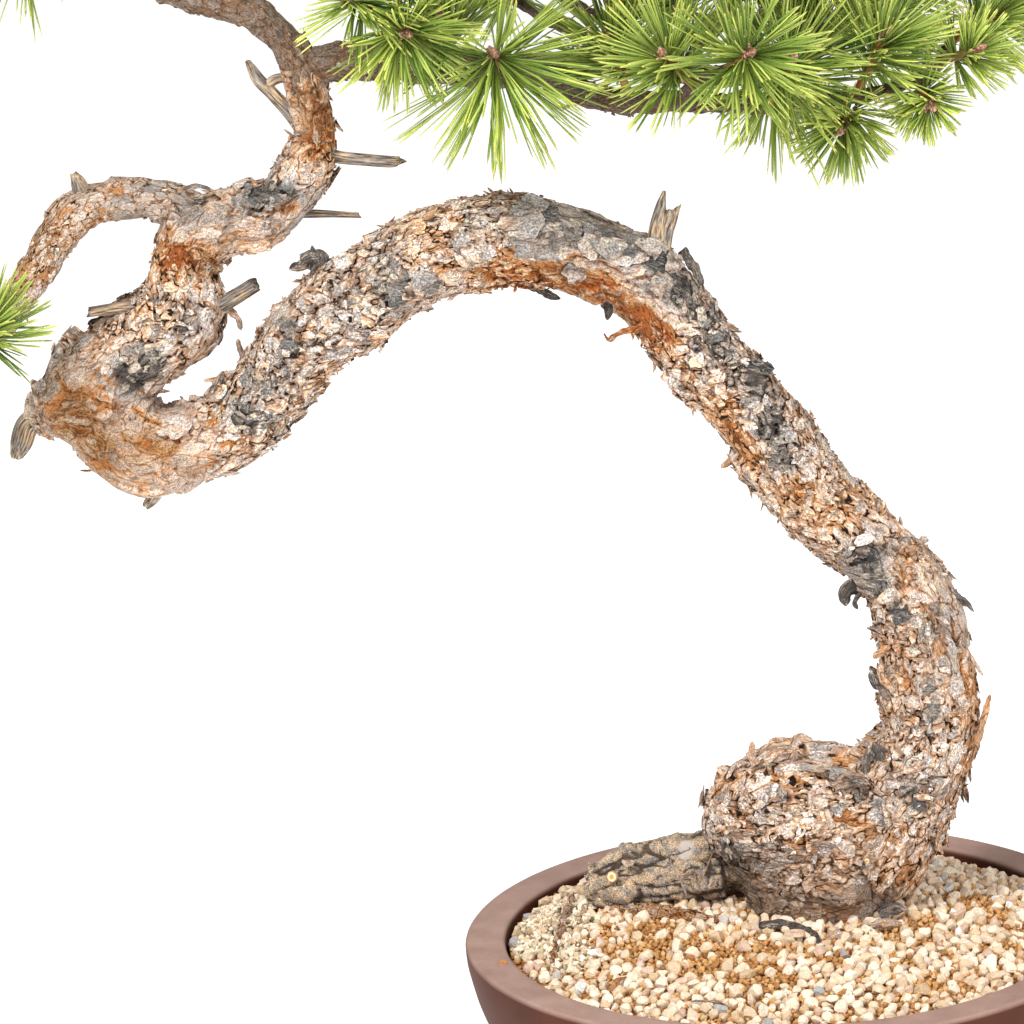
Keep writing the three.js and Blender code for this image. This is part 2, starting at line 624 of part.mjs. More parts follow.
// The mounded fill. Its top is a disc of rings with 6, 12, 18 and more grains, each raised or
// sunk, and its side follows the inside of the pot.
function soilGeometry(rootHole) {
  const mouth = POT_RADIUS - RIM_WIDTH;
  const wide = mouth - SOIL_SPARE;
  const corners = [[0, 0, SOIL_EDGE + SOIL_RISE]];
  const triangles = [];
  const ringStart = [0];
  for (let ring = 1; ring <= SOIL_RINGS; ring += 1) {
    ringStart.push(corners.length);
    const radius = (wide * ring) / SOIL_RINGS;
    for (let j = 0; j < ring * 6; j += 1) {
      const angle = (j / (ring * 6)) * Math.PI * 2;
      const mound = SOIL_RISE * (1 - (ring / SOIL_RINGS) ** 2);
      const grain = ring < SOIL_RINGS ? GRAIN_HEIGHT * (2 * chance(ring, j, BARK_SEED) - 1) : 0;
      corners.push([Math.cos(angle) * radius, Math.sin(angle) * radius, SOIL_EDGE + mound + grain]);
    }
  }
  for (let ring = 1; ring <= SOIL_RINGS; ring += 1) {
    for (let sector = 0; sector < 6; sector += 1) {
      for (let j = 0; j < ring; j += 1) {
        const outer = (k) => ringStart[ring] + ((sector * ring + k) % (ring * 6));
        const inner = (k) => ringStart[ring - 1] + ((sector * (ring - 1) + k) % Math.max(1, (ring - 1) * 6));
        triangles.push([inner(j), outer(j), outer(j + 1)]);
        if (j < ring - 1) triangles.push([inner(j), outer(j + 1), inner(j + 1)]);
      }
    }
  }
  const rim = SOIL_RINGS * 6;
  const half = rim / 2;
  const wall = [
    [mouth - 3, 68],
    [mouth - 8, 50],
    [mouth - 18.5, 33.5],
    [mouth - 37, FLOOR_LEVEL + 2],
    [mouth - 46, FLOOR_LEVEL + GAP],
  ];
  const wallStart = wall.map(([radius, z]) => {
    const start = corners.length;
    for (let j = 0; j < half; j += 1) {
      const angle = (j / half) * Math.PI * 2;
      corners.push([Math.cos(angle) * radius, Math.sin(angle) * radius, z]);
    }
    return start;
  });
  const top = ringStart[SOIL_RINGS];
  for (let j = 0; j < half; j += 1) {
    const next = (j + 1) % half;
    const a = top + 2 * j;
    const b = top + 2 * j + 1;
    const c = top + ((2 * j + 2) % rim);
    const below = wallStart[0] + j;
    const belowNext = wallStart[0] + next;
    triangles.push([a, below, b], [b, below, belowNext], [b, belowNext, c]);
    for (let band = 0; band < wall.length - 1; band += 1) {
      const low = wallStart[band + 1];
      const high = wallStart[band];
      triangles.push([high + j, low + j, high + next], [high + next, low + j, low + next]);
    }
  }
  const floor = corners.length;
  const bottom = wallStart[wall.length - 1];
  corners.push([0, 0, FLOOR_LEVEL + GAP]);
  for (let j = 0; j < half; j += 1) triangles.push([floor, bottom + ((j + 1) % half), bottom + j]);
  let soil = solidOf(meshOf(corners, triangles));
  soil = soil.subtract(solidOf(plugGeometry(PLUG_HOLE_SPARE, POT_HEIGHT * 2))).subtract(rootHole);
  drainAngles().forEach((angle) => {
    const recess = new THREE.BoxGeometry(MESH_SIZE + 1, MESH_SIZE + 1, 2 * (MESH_THICKNESS + 2 * GAP));
    recess.translate(DRAIN_RING, 0, FLOOR_LEVEL);
    recess.rotateZ(angle);
    soil = soil.subtract(solidOf(recess));
  });
  return geometryOf(soil);
}

// Assembly

function matt(color, roughness) {
  return new THREE.MeshStandardMaterial({ color, roughness, metalness: 0, flatShading: true });
}

const materials = {
  pot: matt(0x86706a, 0.85),
  drainMesh: matt(0x23262a, 0.6),
  soil: matt(0xe3c59a, 1),
  wood: matt(0xa98468, 0.95),
  needles: matt(0x7fa63c, 0.55),
};

const tree = new THREE.Group();

function addPiece(name, geometry, material) {
  const mesh = new THREE.Mesh(geometry, material);
  mesh.name = name;
  tree.add(mesh);
}

const trunkStations = [TRUNK_LOWER, TRUNK_UPPER].map((line) => stationsAlong(line, TRUNK_STEP));
const branchStations = Object.values(BRANCHES).map(({ line }) => stationsAlong(line, BRANCH_STEP));
const snagStations = SNAGS.map(({ line }) => stationsAlong(line, SNAG_STEP));
const rootStations = stationsAlong(SURFACE_ROOT, ROOT_STEP);

const shoots = SHOOTS.map((ends, number) => {
  const shoot = { ...shootFrame(ends), number };
  shoot.foot = branchRadiusAt(shoot.start, branchStations) + STUB_LENGTH;
  shoot.zoneStart = Math.max(shoot.length - BUD_LENGTH - NEEDLE_ZONE, shoot.foot + BARE_STEM);
  shoot.zone = shoot.length - BUD_LENGTH - shoot.zoneStart;
  return shoot;
});

let wood = solidOf(plugGeometry(0, PLUG_TOP));
const woodParts = [
  ...trunkStations.map((stations, i) => (
    limbGeometry(stations, TRUNK_SIDES, TRUNK_RELIEF, BARK_SEED + i))),
  ...BURLS.map((burl, i) => burlGeometry(burl, BURL_RELIEF, BARK_SEED + 10 + i)),
  limbGeometry(rootStations, ROOT_SIDES, ROOT_RELIEF, BARK_SEED + 20),
  ...branchStations.map((stations, i) => (
    limbGeometry(stations, Object.values(BRANCHES)[i].sides, BRANCH_RELIEF, BARK_SEED + 30 + i))),
  ...snagStations.map((stations, i) => (
    limbGeometry(stations, SNAGS[i].sides, SNAG_RELIEF, BARK_SEED + 60 + i))),
  ...shoots.map(shootFootGeometry),
];
woodParts.forEach((part) => {
  wood = wood.add(solidOf(part));
});
wood = wood.simplify(0.1);

addPiece('pot', potGeometry(), materials.pot);
drainAngles().forEach((angle, i) => {
  addPiece(`drain_mesh_${i + 1}`, drainMeshGeometry(angle), materials.drainMesh);
});
const rootHole = solidOf(limbGeometry(rootStations, ROOT_SIDES, 0, 0, ROOT_HOLE_SPARE));
addPiece('soil', soilGeometry(rootHole), materials.soil);
addPiece('trunk_and_branches', geometryOf(wood), materials.wood);

const placed = [];
[...trunkStations, ...branchStations, ...snagStations].forEach((stations) => {
  for (let i = 0; i < stations.length - 1; i += 1) {
    placed.push(withBounds({
      root: stations[i].centre,
      tip: stations[i + 1].centre,
      rootRadius: stations[i].radius + BARK_SPARE,
      tipRadius: stations[i + 1].radius + BARK_SPARE,
    }));
  }
});
shoots.forEach((shoot, i) => placed.push(withBounds({
  root: shoot.start.clone(),
  tip: shoot.tip.clone(),
  rootRadius: CORE_RADIUS,
  tipRadius: CORE_RADIUS / 2,
  owner: i,
  isStem: true,
})));
shoots.forEach((shoot, i) => {
  const name = `needle_spray_${String(i + 1).padStart(2, '0')}`;
  addPiece(name, sprayGeometry(shoot, placed), materials.needles);
});

export default tree;
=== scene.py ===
# %% [markdown]
# # A Scots pine bonsai in a round pot
# The tree, its soil and its pot already stand in this scene as plain solids at their true
# size. This lesson dresses them, one material of the real object at a time: flaking bark,
# paired needles, loose gravel and unglazed clay. All shapes are worked out in millimetres as
# whole numpy arrays, and become metres once, when they turn into a mesh.

# %% Load the solids
import math

import bpy
import numpy as np
from mathutils import Matrix, Vector


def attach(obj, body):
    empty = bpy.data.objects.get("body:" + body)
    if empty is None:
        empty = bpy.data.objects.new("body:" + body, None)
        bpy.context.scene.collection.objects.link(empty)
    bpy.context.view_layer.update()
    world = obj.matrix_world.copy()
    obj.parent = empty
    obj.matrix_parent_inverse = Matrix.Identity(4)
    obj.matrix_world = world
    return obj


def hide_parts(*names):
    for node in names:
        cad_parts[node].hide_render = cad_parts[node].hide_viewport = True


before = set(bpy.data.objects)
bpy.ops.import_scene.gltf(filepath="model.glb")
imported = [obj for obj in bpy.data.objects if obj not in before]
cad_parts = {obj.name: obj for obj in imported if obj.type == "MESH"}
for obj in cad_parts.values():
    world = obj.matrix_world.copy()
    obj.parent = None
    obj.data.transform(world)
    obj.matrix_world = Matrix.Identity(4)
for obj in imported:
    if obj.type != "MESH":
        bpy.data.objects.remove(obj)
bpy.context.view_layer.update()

BODY = "root"
MM = 0.001
print("solids:", len(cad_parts))

# %% [markdown]
# ## The view
# A long lens from two metres away looks a little down on the rim of the pot, and leans by
# almost three degrees. The lens was found from the width of the rim and the height of the
# ellipse that it draws. No shift and no blur are needed.

# %% Camera
CAMERA_PLACE = (-110.4, -2000.0, 791.0)
CAMERA_DOWN = math.radians(14.38)
CAMERA_ROLL = math.radians(-2.78)
LENS_WIDTH = 36.0
LENS_LENGTH = 171.8

camera_data = bpy.data.cameras.new("camera")
camera_data.sensor_width = LENS_WIDTH
camera_data.lens = LENS_LENGTH
camera = bpy.data.objects.new("camera", camera_data)
camera.location = [value * MM for value in CAMERA_PLACE]
camera.rotation_mode = "ZYX"
camera.rotation_euler = (math.pi / 2 - CAMERA_DOWN, 0, CAMERA_ROLL)
bpy.context.scene.collection.objects.link(camera)
bpy.context.scene.camera = camera

# %% [markdown]
# ## Floor and light
# Bark is all small shadows, so it needs light from one side that is still soft, and a bright
# surround that keeps the undersides readable. One large panel above and to the left gives the
# shape, a second one in front fills, and a white world does the rest. The floor glows a little,
# like a paper sweep that is lit on its own.

# %% Light
WORLD_STRENGTH = 0.5
FLOOR_GLOW = 0.55
PANELS = {
    "key": {"place": (-900, -1200, 1800), "size": 450, "watts": 50},
    "fill": {"place": (1100, -1500, 900), "size": 1400, "watts": 26},
}
LIT_POINT = np.array([-120.0, 0.0, 300.0])


def aim_at(place, target):
    """The turn that points an object's own -Z at the target."""
    return Vector(np.subtract(target, place)).to_track_quat("-Z", "Y").to_euler()


def add_panel(name, place, size, watts):
    data = bpy.data.lights.new(name, "AREA")
    data.size = size * MM
    data.energy = watts
    panel = bpy.data.objects.new(name, data)
    panel.location = [value * MM for value in place]
    panel.rotation_euler = aim_at(place, LIT_POINT)
    bpy.context.scene.collection.objects.link(panel)


for name, facts in PANELS.items():
    add_panel(name, **facts)

world = bpy.data.worlds.new("white surround")
world.use_nodes = True
world.node_tree.nodes["Background"].inputs["Color"].default_value = (1, 1, 1, 1)
world.node_tree.nodes["Background"].inputs["Strength"].default_value = WORLD_STRENGTH
bpy.context.scene.world = world
bpy.context.scene.view_settings.view_transform = "Standard"

# %% [markdown]
# ## From numbers to a mesh
# Every shape below ends as an array of points and one or more arrays of faces. Writing them
# with foreach_set is hundreds of times faster than adding points one by one. Extra arrays,
# such as how far a plate of bark stands up, ride along as attributes for the material.

# %% Mesh helper
def make_piece(name, points, faces, material, flat=(), **values):
    """Points in millimetres, and a list of face arrays with three or four corners a row. The
    faces in flat keep a hard edge all round."""
    mesh = bpy.data.meshes.new(name)
    smooth_count = sum(len(part) for part in faces)
    faces = [*faces, *flat]
    sizes = np.concatenate([np.full(len(part), part.shape[1]) for part in faces])
    corners = np.concatenate([part.ravel() for part in faces])
    mesh.vertices.add(len(points))
    mesh.vertices.foreach_set("co", (points * MM).astype(np.float32).ravel())
    mesh.loops.add(len(corners))
    mesh.loops.foreach_set("vertex_index", corners.astype(np.int32))
    mesh.polygons.add(len(sizes))
    starts = np.cumsum(sizes) - sizes
    mesh.polygons.foreach_set("loop_start", starts.astype(np.int32))
    mesh.polygons.foreach_set("use_smooth", np.arange(len(sizes)) < smooth_count)
    for key, value in values.items():
        kind, part = ("FLOAT", "value") if value.ndim == 1 else ("FLOAT_VECTOR", "vector")
        data = mesh.attributes.new(key, kind, "POINT").data
        data.foreach_set(part, value.astype(np.float32).ravel())
    mesh.update(calc_edges=True)
    mesh.materials.append(material)
    piece = bpy.data.objects.new(name, mesh)
    bpy.context.scene.collection.objects.link(piece)
    print(f"{name}: {int((sizes - 2).sum())} triangles")
    return piece


def dress(piece, slot, *nodes):
    """Fastens a finished piece to the object and hides the solids that it stands for."""
    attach(piece, BODY)
    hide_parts(*nodes)


def lengths(vectors):
    """The root of the sum of squares along the last axis."""
    return np.sqrt((vectors ** 2).sum(-1, keepdims=True))


def unit(vectors):
    return vectors / np.maximum(lengths(vectors), 1e-9)


def turns(count):
    """As many even angles as count says, from 0 to just under a full turn."""
    return np.arange(count) / count * 2 * np.pi


def together(*parts):
    """X, y and z, stretched to one shape, as the last axis of one array."""
    return np.stack(np.broadcast_arrays(*parts), -1)


def copies(faces, count, each):
    """The same triangles for many bodies, which all have the same number of points."""
    return (faces + (np.arange(count) * each)[:, None, None]).reshape(-1, 3)


# %% Floor
FLOOR_SIZE = 30000

floor_corners = np.array([[-1, -1, 0], [1, -1, 0], [1, 1, 0], [-1, 1, 0]]) * FLOOR_SIZE / 2

# %% [markdown]
# ## Chance that repeats
# Bark and gravel are irregular, but a scene must come out the same each time. A hash turns
# whole numbers into a number from 0 to 1 that looks random. Smooth noise blends the hashes at
# the eight corners of a cell, and cracked patterns come from the distances to scattered seeds.

# %% Noise
def scramble(seed, *whole):
    """Multiplies each whole number in, folds the high bits down, and ends between 0 and 1."""
    mixed = np.full(np.broadcast(*whole).shape, seed * 7919 + 17, np.uint32)
    for part in whole:
        mixed = (mixed ^ part.astype(np.int64).astype(np.uint32)) * np.uint32(0x9E3779B1)
        mixed ^= mixed >> np.uint32(15)
    mixed = mixed * np.uint32(0x85EBCA6B)
    mixed ^= mixed >> np.uint32(13)
    return mixed / np.float64(2 ** 32)


def smooth_noise(points, size, seed):
    """From -1 to 1. Between cell corners it blends their hashes with the curve 3t^2 - 2t^3."""
    place = points / size
    cell = np.floor(place)
    part = place - cell
    part = part * part * (3 - 2 * part)
    total = np.zeros(points.shape[:-1])
    for corner in np.ndindex(2, 2, 2):
        weight = np.prod(np.where(corner, part, 1 - part), axis=-1)
        at = [cell[..., axis] + corner[axis] for axis in range(3)]
        total += weight * scramble(seed, *at)
    return 2 * total - 1


def rough_noise(points, size, seed, octaves=3):
    """Noise with half the size and half the strength added each time."""
    layers = [smooth_noise(points, size / 2 ** i, seed + i) / 2 ** i for i in range(octaves)]
    return sum(layers) / 1.5


def plates(points, size, seed):
    """Cells round scattered seeds. Gives the way from the border in millimetres, a number
    from 0 to 1 that is the same all over a plate, and the offset from the plate's seed."""
    place = points / size
    home = np.floor(place)
    nearest = np.full(points.shape[:-1], 9.0)
    second = nearest.copy()
    pick = np.zeros_like(nearest)
    offset = np.zeros_like(points)
    for step in np.ndindex(3, 3, 3):
        cell = home + np.array(step) - 1
        at = [cell[..., axis] for axis in range(3)]
        centre = cell + np.stack([scramble(seed + axis, *at) for axis in range(3)], -1)
        away = place - centre
        distance = lengths(away)[..., 0]
        closer = distance < nearest
        second = np.where(closer, nearest, np.minimum(second, distance))
        nearest = np.where(closer, distance, nearest)
        pick = np.where(closer, scramble(seed + 5, *at), pick)
        offset = np.where(closer[..., None], away, offset)
    return (second - nearest) * size, pick, offset * size


def ease(value, low, high):
    """Climbs from 0 at low to 1 at high, with soft ends."""
    part = np.clip((value - low) / (high - low), 0, 1)
    return part * part * (3 - 2 * part)


# %% [markdown]
# ## Colours and shared effects
# Colours are given as they look on a screen and turned into light values. Three effects come
# back in several materials here, so each is one node group: grain, which mottles a colour and
# gives a relief height, dust, which lies where a surface faces up, and plates, which breaks a
# surface into ragged flakes much finer than the mesh.

# %% Node helpers
def paint(red, green, blue):
    """A screen colour from 0 to 255 as a light value."""
    share = np.array([red, green, blue]) / 255
    light = np.where(share < 0.04045, share / 12.92, ((share + 0.055) / 1.055) ** 2.4)
    return (*light, 1.0)


def node(tree, kind, settings=None, **inputs):
    """Adds a node. An input is a number, a colour or another node's output."""
    made = tree.nodes.new(kind)
    for key, value in (settings or {}).items():
        setattr(made, key, value)
    for key, value in inputs.items():
        feed(tree, made.inputs[key.replace("_", " ")], value)
    return made


def feed(tree, socket, value):
    if isinstance(value, bpy.types.NodeSocket):
        tree.links.new(value, socket)
    else:
        socket.default_value = value


def mix(tree, share, first, second, mode="MIX"):
    made = node(tree, "ShaderNodeMix", {"data_type": "RGBA", "blend_type": mode})
    for place, value in ((0, share), (6, first), (7, second)):
        feed(tree, made.inputs[place], value)
    return made.outputs[2]


def sums(tree, operation, *values):
    made = node(tree, "ShaderNodeMath", {"operation": operation})
    for place, value in enumerate(values):
        feed(tree, made.inputs[place], value)
    return made.outputs[0]


def times(tree, first, second):
    return sums(tree, "MULTIPLY", first, second)


def plus(tree, first, second):
    return sums(tree, "ADD", first, second)


def fit(tree, value, low, high, to_low=0.0, to_high=1.0):
    """A value moved from one span to another, and held at its ends."""
    names = {"Value": value, "From Min": low, "From Max": high, "To Min": to_low, "To Max": to_high}
    made = node(tree, "ShaderNodeMapRange")
    for key, given in names.items():
        feed(tree, made.inputs[key], given)
    return made.outputs[0]


def ramp(tree, share, *stops):
    """Colours along a line. A stop is its place from 0 to 1 and a screen colour."""
    made = node(tree, "ShaderNodeValToRGB", Fac=share)
    points = made.color_ramp.elements
    while len(points) < len(stops):
        points.new(0.5)
    for point, (place, *colour) in zip(points, stops):
        point.position = place
        point.color = paint(*colour)
    return made.outputs[0]


def attribute(tree, name, part="Fac"):
    return node(tree, "ShaderNodeAttribute", {"attribute_name": name}).outputs[part]


def vectors(tree, operation, first, second):
    """Vector sums. SCALE takes a number as its second value, and DOT_PRODUCT gives one."""
    made = node(tree, "ShaderNodeVectorMath", {"operation": operation})
    feed(tree, made.inputs[0], first)
    feed(tree, made.inputs["Scale" if operation == "SCALE" else 1], second)
    return made.outputs["Value" if operation == "DOT_PRODUCT" else "Vector"]


def object_place(tree):
    return node(tree, "ShaderNodeTexCoord").outputs["Object"]


def noise(tree, place, scale, detail, **more):
    """Smooth noise from 0 to 1."""
    made = node(tree, "ShaderNodeTexNoise", Vector=place, Scale=scale, Detail=detail, **more)
    return made.outputs["Fac"]


def separate(tree, colour):
    return node(tree, "ShaderNodeSeparateColor", Color=colour).outputs


def shade_by(tree, colour, value):
    """The colour times one number."""
    grey = node(tree, "ShaderNodeCombineXYZ", X=value, Y=value, Z=value).outputs[0]
    return mix(tree, 1.0, colour, grey, "MULTIPLY")


def new_group(name, **sockets):
    """An empty node group with its inputs, and the two outputs Colour and Height."""
    tree = bpy.data.node_groups.new(name, "ShaderNodeTree")
    for key, (kind, value) in sockets.items():
        socket = tree.interface.new_socket(key, in_out="INPUT", socket_type=kind)
        socket.default_value = value
    tree.interface.new_socket("Colour", in_out="OUTPUT", socket_type="NodeSocketColor")
    tree.interface.new_socket("Height", in_out="OUTPUT", socket_type="NodeSocketFloat")
    return tree, tree.nodes.new("NodeGroupInput").outputs, tree.nodes.new("NodeGroupOutput")


def finish_group(tree, result, **values):
    for key, value in values.items():
        tree.links.new(value, result.inputs[key])
    return tree


FLOAT = "NodeSocketFloat"
COLOUR = "NodeSocketColor"
VECTOR = "NodeSocketVector"
WHITE = (1, 1, 1, 1)


# %% Node groups
def grain_group():
    """Colour times a value near 1 that two sizes of noise give; the noise is the height."""
    tree, given, result = new_group(
        "grain", Colour=(COLOUR, WHITE), Scale=(FLOAT, 800.0), Strength=(FLOAT, 0.3))
    place = object_place(tree)
    fine = noise(tree, place, given["Scale"], 4.0)
    wide = noise(tree, place, times(tree, given["Scale"], 0.2), 3.0)
    both = plus(tree, times(tree, fine, 0.6), times(tree, wide, 0.4))
    swing = times(tree, sums(tree, "SUBTRACT", both, 0.5), given["Strength"])
    shade = plus(tree, times(tree, swing, 4.0), 1.0)
    return finish_group(tree, result, Colour=shade_by(tree, given["Colour"], shade), Height=both)


def dust_group():
    """A second colour laid over the first where the surface faces up, in uneven patches."""
    tree, given, result = new_group(
        "dust", Colour=(COLOUR, WHITE), Dust=(COLOUR, WHITE), Amount=(FLOAT, 0.5))
    patches = noise(tree, object_place(tree), 60.0, 5.0)
    normal = node(tree, "ShaderNodeNewGeometry").outputs["Normal"]
    up = node(tree, "ShaderNodeSeparateXYZ", Vector=normal).outputs["Z"]
    share = times(tree, fit(tree, up, 0.1, 0.9), fit(tree, patches, 0.3, 0.7, 0.7, 1.0))
    share = times(tree, share, given["Amount"])
    return finish_group(
        tree, result, Colour=mix(tree, share, given["Colour"], given["Dust"]), Height=share)


LAYERS = 8.0
LAYER_STEP = 0.3


def plates_group():
    """Space is bent by noise and cut into cells. Colour is one chance colour for each plate.
    Height is the plate's own step plus a tilt, which is how far a point lies from the cell's
    seed along a chance direction. Gap is 1 on the border and fades to 0 at a fifth of the
    plate's size. Layer counts up from 0 to 1 between the level lines of the bending noise, and
    falls back at each, like sheets that lie on one another."""
    tree, given, result = new_group(
        "plates", Place=(VECTOR, (0, 0, 0)), Size=(FLOAT, 5.0), Ragged=(FLOAT, 1.0))
    for key in ("Gap", "Layer"):
        tree.interface.new_socket(key, in_out="OUTPUT", socket_type=FLOAT)
    place, size, middle = given["Place"], given["Size"], (0.5, 0.5, 0.5)
    waves = node(tree, "ShaderNodeTexNoise", Vector=place, Detail=2.0,
                 Scale=sums(tree, "DIVIDE", 1.8, size)).outputs["Color"]
    bend = vectors(tree, "SCALE", vectors(tree, "SUBTRACT", waves, middle), given["Ragged"])
    bent = vectors(tree, "ADD", place, bend)
    scale = sums(tree, "DIVIDE", 1.0, size)
    cell = node(tree, "ShaderNodeTexVoronoi", Vector=bent, Scale=scale).outputs
    border = node(tree, "ShaderNodeTexVoronoi", {"feature": "DISTANCE_TO_EDGE"}, Vector=bent, Scale=scale)
    away = vectors(tree, "SCALE", vectors(tree, "SUBTRACT", bent, cell["Position"]), scale)
    lean = vectors(tree, "SUBTRACT", cell["Color"], middle)
    tilt = times(tree, vectors(tree, "DOT_PRODUCT", away, lean), 1.7)
    step = plus(tree, times(tree, separate(tree, cell["Color"])[2], 0.4), 0.4)
    layer = sums(tree, "FRACT", times(tree, separate(tree, waves)[0], LAYERS))
    height = plus(tree, plus(tree, step, tilt), times(tree, layer, LAYER_STEP))
    return finish_group(tree, result, Colour=cell["Color"], Height=height, Layer=layer,
                        Gap=fit(tree, border.outputs["Distance"], 0.0, 0.2, 1.0, 0.0))


GRAIN = grain_group()
DUST = dust_group()
PLATES = plates_group()


def use_group(tree, group, **inputs):
    return node(tree, "ShaderNodeGroup", {"node_tree": group}, **inputs).outputs


def new_material(name, roughness, specular):
    """A material with its Principled shader. Values that are the same all over go on it."""
    material = bpy.data.materials.new(name)
    material.use_nodes = True
    shader = material.node_tree.nodes["Principled BSDF"]
    shader.inputs["Roughness"].default_value = roughness
    shader.inputs["Specular IOR Level"].default_value = specular
    return material, material.node_tree


def finish_material(material, colour, height=None, depth=1.0, strength=1.0):
    """Colour into the shader, and a height as a bump of that depth in millimetres."""
    tree = material.node_tree
    shader = tree.nodes["Principled BSDF"]
    tree.links.new(colour, shader.inputs["Base Color"])
    if height is not None:
        bump = node(tree, "ShaderNodeBump", Height=height, Distance=depth * MM, Strength=strength)
        tree.links.new(bump.outputs[0], shader.inputs["Normal"])
    return material


def finish_grained(material, colour, scale, mottle, depth, strength):
    """Grain over the colour, and the grain's height as the bump."""
    grain = use_group(material.node_tree, GRAIN, Colour=colour, Scale=scale, Strength=mottle)
    return finish_material(material, grain["Colour"], grain["Height"], depth, strength)


# %% Floor piece
def floor_material():
    material, tree = new_material("pale floor", 0.9, 0.1)
    grain = use_group(tree, GRAIN, Colour=paint(244, 244, 243), Scale=3.0, Strength=0.005)
    shader = tree.nodes["Principled BSDF"]
    shader.inputs["Emission Color"].default_value = WHITE
    shader.inputs["Emission Strength"].default_value = FLOOR_GLOW
    return finish_material(material, grain["Colour"])


floor = make_piece("floor", floor_corners, [np.array([[0, 1, 2, 3]])], floor_material())

# %% [markdown]
# ## The wood as lines
# Trunk and branches are lines of given points, each with a radius, in the same places
# as in the solids. A smooth curve goes through the points, and rings stand across it. Each
# ring's own axes are carried on from the ring before, so the surface doesn't twist.

# %% Lines of the wood
TRUNK_LOWER = [
    (24, 8, 107, 23), (34, 8, 120, 28), (47, 9, 138, 28), (60.5, 10, 157, 21.5), (65.5, 10, 174, 19.2),
    (65, 10, 192, 20), (62.5, 8, 214, 19), (53.5, 4, 237, 16.3), (41, 0, 255, 16.5), (28, -4, 270, 17),
    (13, -8, 285, 16), (-4, -15, 314, 17), (-12, -17, 328, 16), (-23, -19, 341, 16),
    (-35, -21, 356, 16), (-51, -24, 380, 17), (-70, -25, 390, 16), (-89, -25, 397, 17),
    (-104, -23, 399, 18), (-121, -19, 398, 19), (-137, -15, 393, 18), (-151, -11, 386, 17),
    (-169, -3, 375, 19), (-181, 1, 367, 19), (-192, 5, 358, 19), (-201, 9, 346, 17.5),
    (-209.5, 12, 334.5, 16.5), (-219.5, 16, 324, 16.3), (-233, 21, 314, 16), (-247, 25, 309.5, 16.2),
    (-262, 29, 306.5, 19.3), (-278, 33, 312.5, 17.5), (-294, 34, 320, 13), (-308, 34, 324.5, 9.5),
    (-316, 34, 326, 5),
]
TRUNK_UPPER = [
    (-309, 34, 325, 9.5), (-299, 34, 328, 14.5), (-287.5, 34, 334.5, 19), (-274.5, 33, 344, 19.6),
    (-262.5, 32, 352, 19), (-251.5, 30, 361, 18.5), (-246, 27, 371, 17), (-243, 23, 387, 14.2),
    (-237, 19, 400, 15.5), (-224, 15, 406, 13.5), (-210, 12, 410, 12.5), (-200, 10, 415, 11.5),
    (-192, 8, 424, 11), (-187, 7, 434, 10.5), (-184, 7, 442, 8.8), (-185, 6, 455, 8),
    (-186, 5, 472, 8),
]
SURFACE_ROOT = [
    (2, 16, 121, 15), (-20, 20, 115, 14), (-38, 24, 110, 13.5), (-56, 28, 106, 13),
    (-70, 30, 103, 12), (-84, 31, 102, 9.5),
]
ROOT_LOBES = [
    # the ridge on top, the lobe in front, and the short stub that was sawn off
    [(-22, 22, 122, 7), (-38, 26, 118, 6), (-53, 29, 114.4, 5.2), (-68, 31, 110, 4.6),
     (-80, 32, 105.4, 4), (-86, 32, 103, 2)],
    [(-26, 14, 108, 9), (-42, 17, 106, 9.5), (-56, 19, 103.5, 9), (-68, 22, 101.5, 8.5),
     (-79, 26, 99, 6.5), (-86, 29, 97, 3)],
    [(-66, 20, 106, 4.2), (-70, 17, 108, 3.8), (-73.5, 14, 108.6, 3.4)],
]
BRANCHES = [
    # leader, right limb, the two right branches, left branch and riser
    [(-186, 5, 464, 8), (-193, 4, 480, 7), (-200, 2, 488, 6.3), (-209, 0, 496, 6.2),
     (-225, -2, 501, 6.2), (-244, -4, 510, 6), (-259, -3, 526, 5.4), (-262, 2, 546, 4.8),
     (-248, 6, 564, 4.2), (-226, 3, 576, 3.4), (-204, -4, 582, 2.6)],
    [(-192, 6, 468, 7), (-172, 4, 473, 7.8), (-139, 0, 471, 7.8), (-111, -4, 468, 7.1),
     (-80, -6, 466, 6.2)],
    [(-88, -5, 466, 5.8), (-65, 0, 469, 5.4), (-46, 6, 463, 4.7), (-24, 12, 458, 3.9),
     (0, 18, 460, 3.3), (24, 26, 467, 2.7), (44, 36, 474, 2.2)],
    [(-88, -6, 465, 5.8), (-72, -13, 457, 5.4), (-51, -20, 454, 4.6), (-26, -24, 453, 3.9),
     (0, -26, 451, 3.4), (37, -26, 453, 2.7), (64, -24, 458, 2.3), (72, -22, 463, 2.2),
     (79, -18, 473, 1.9)],
    [(-232, 19, 405, 9.5), (-249, 17, 415, 8), (-264, 14, 417.4, 8), (-278, 10, 416.8, 8.4),
     (-287.5, 7, 412.5, 9), (-295, 5, 404, 8.6), (-301, 2, 395, 8), (-310, -2, 383.5, 7.1),
     (-318.4, -4, 372.6, 6.5), (-328, -6, 361, 5.4), (-342, -9, 348, 4.6), (-358, -12, 339, 3.8),
     (-376, -15, 335, 3)],
    [(-140, 1, 471, 5.6), (-134, 7, 488, 5.2), (-120, 12, 508, 4.8), (-98, 11, 526, 4.4),
     (-72, 4, 540, 3.8), (-44, -3, 551, 3.2), (-18, -6, 556, 2.6)],
]
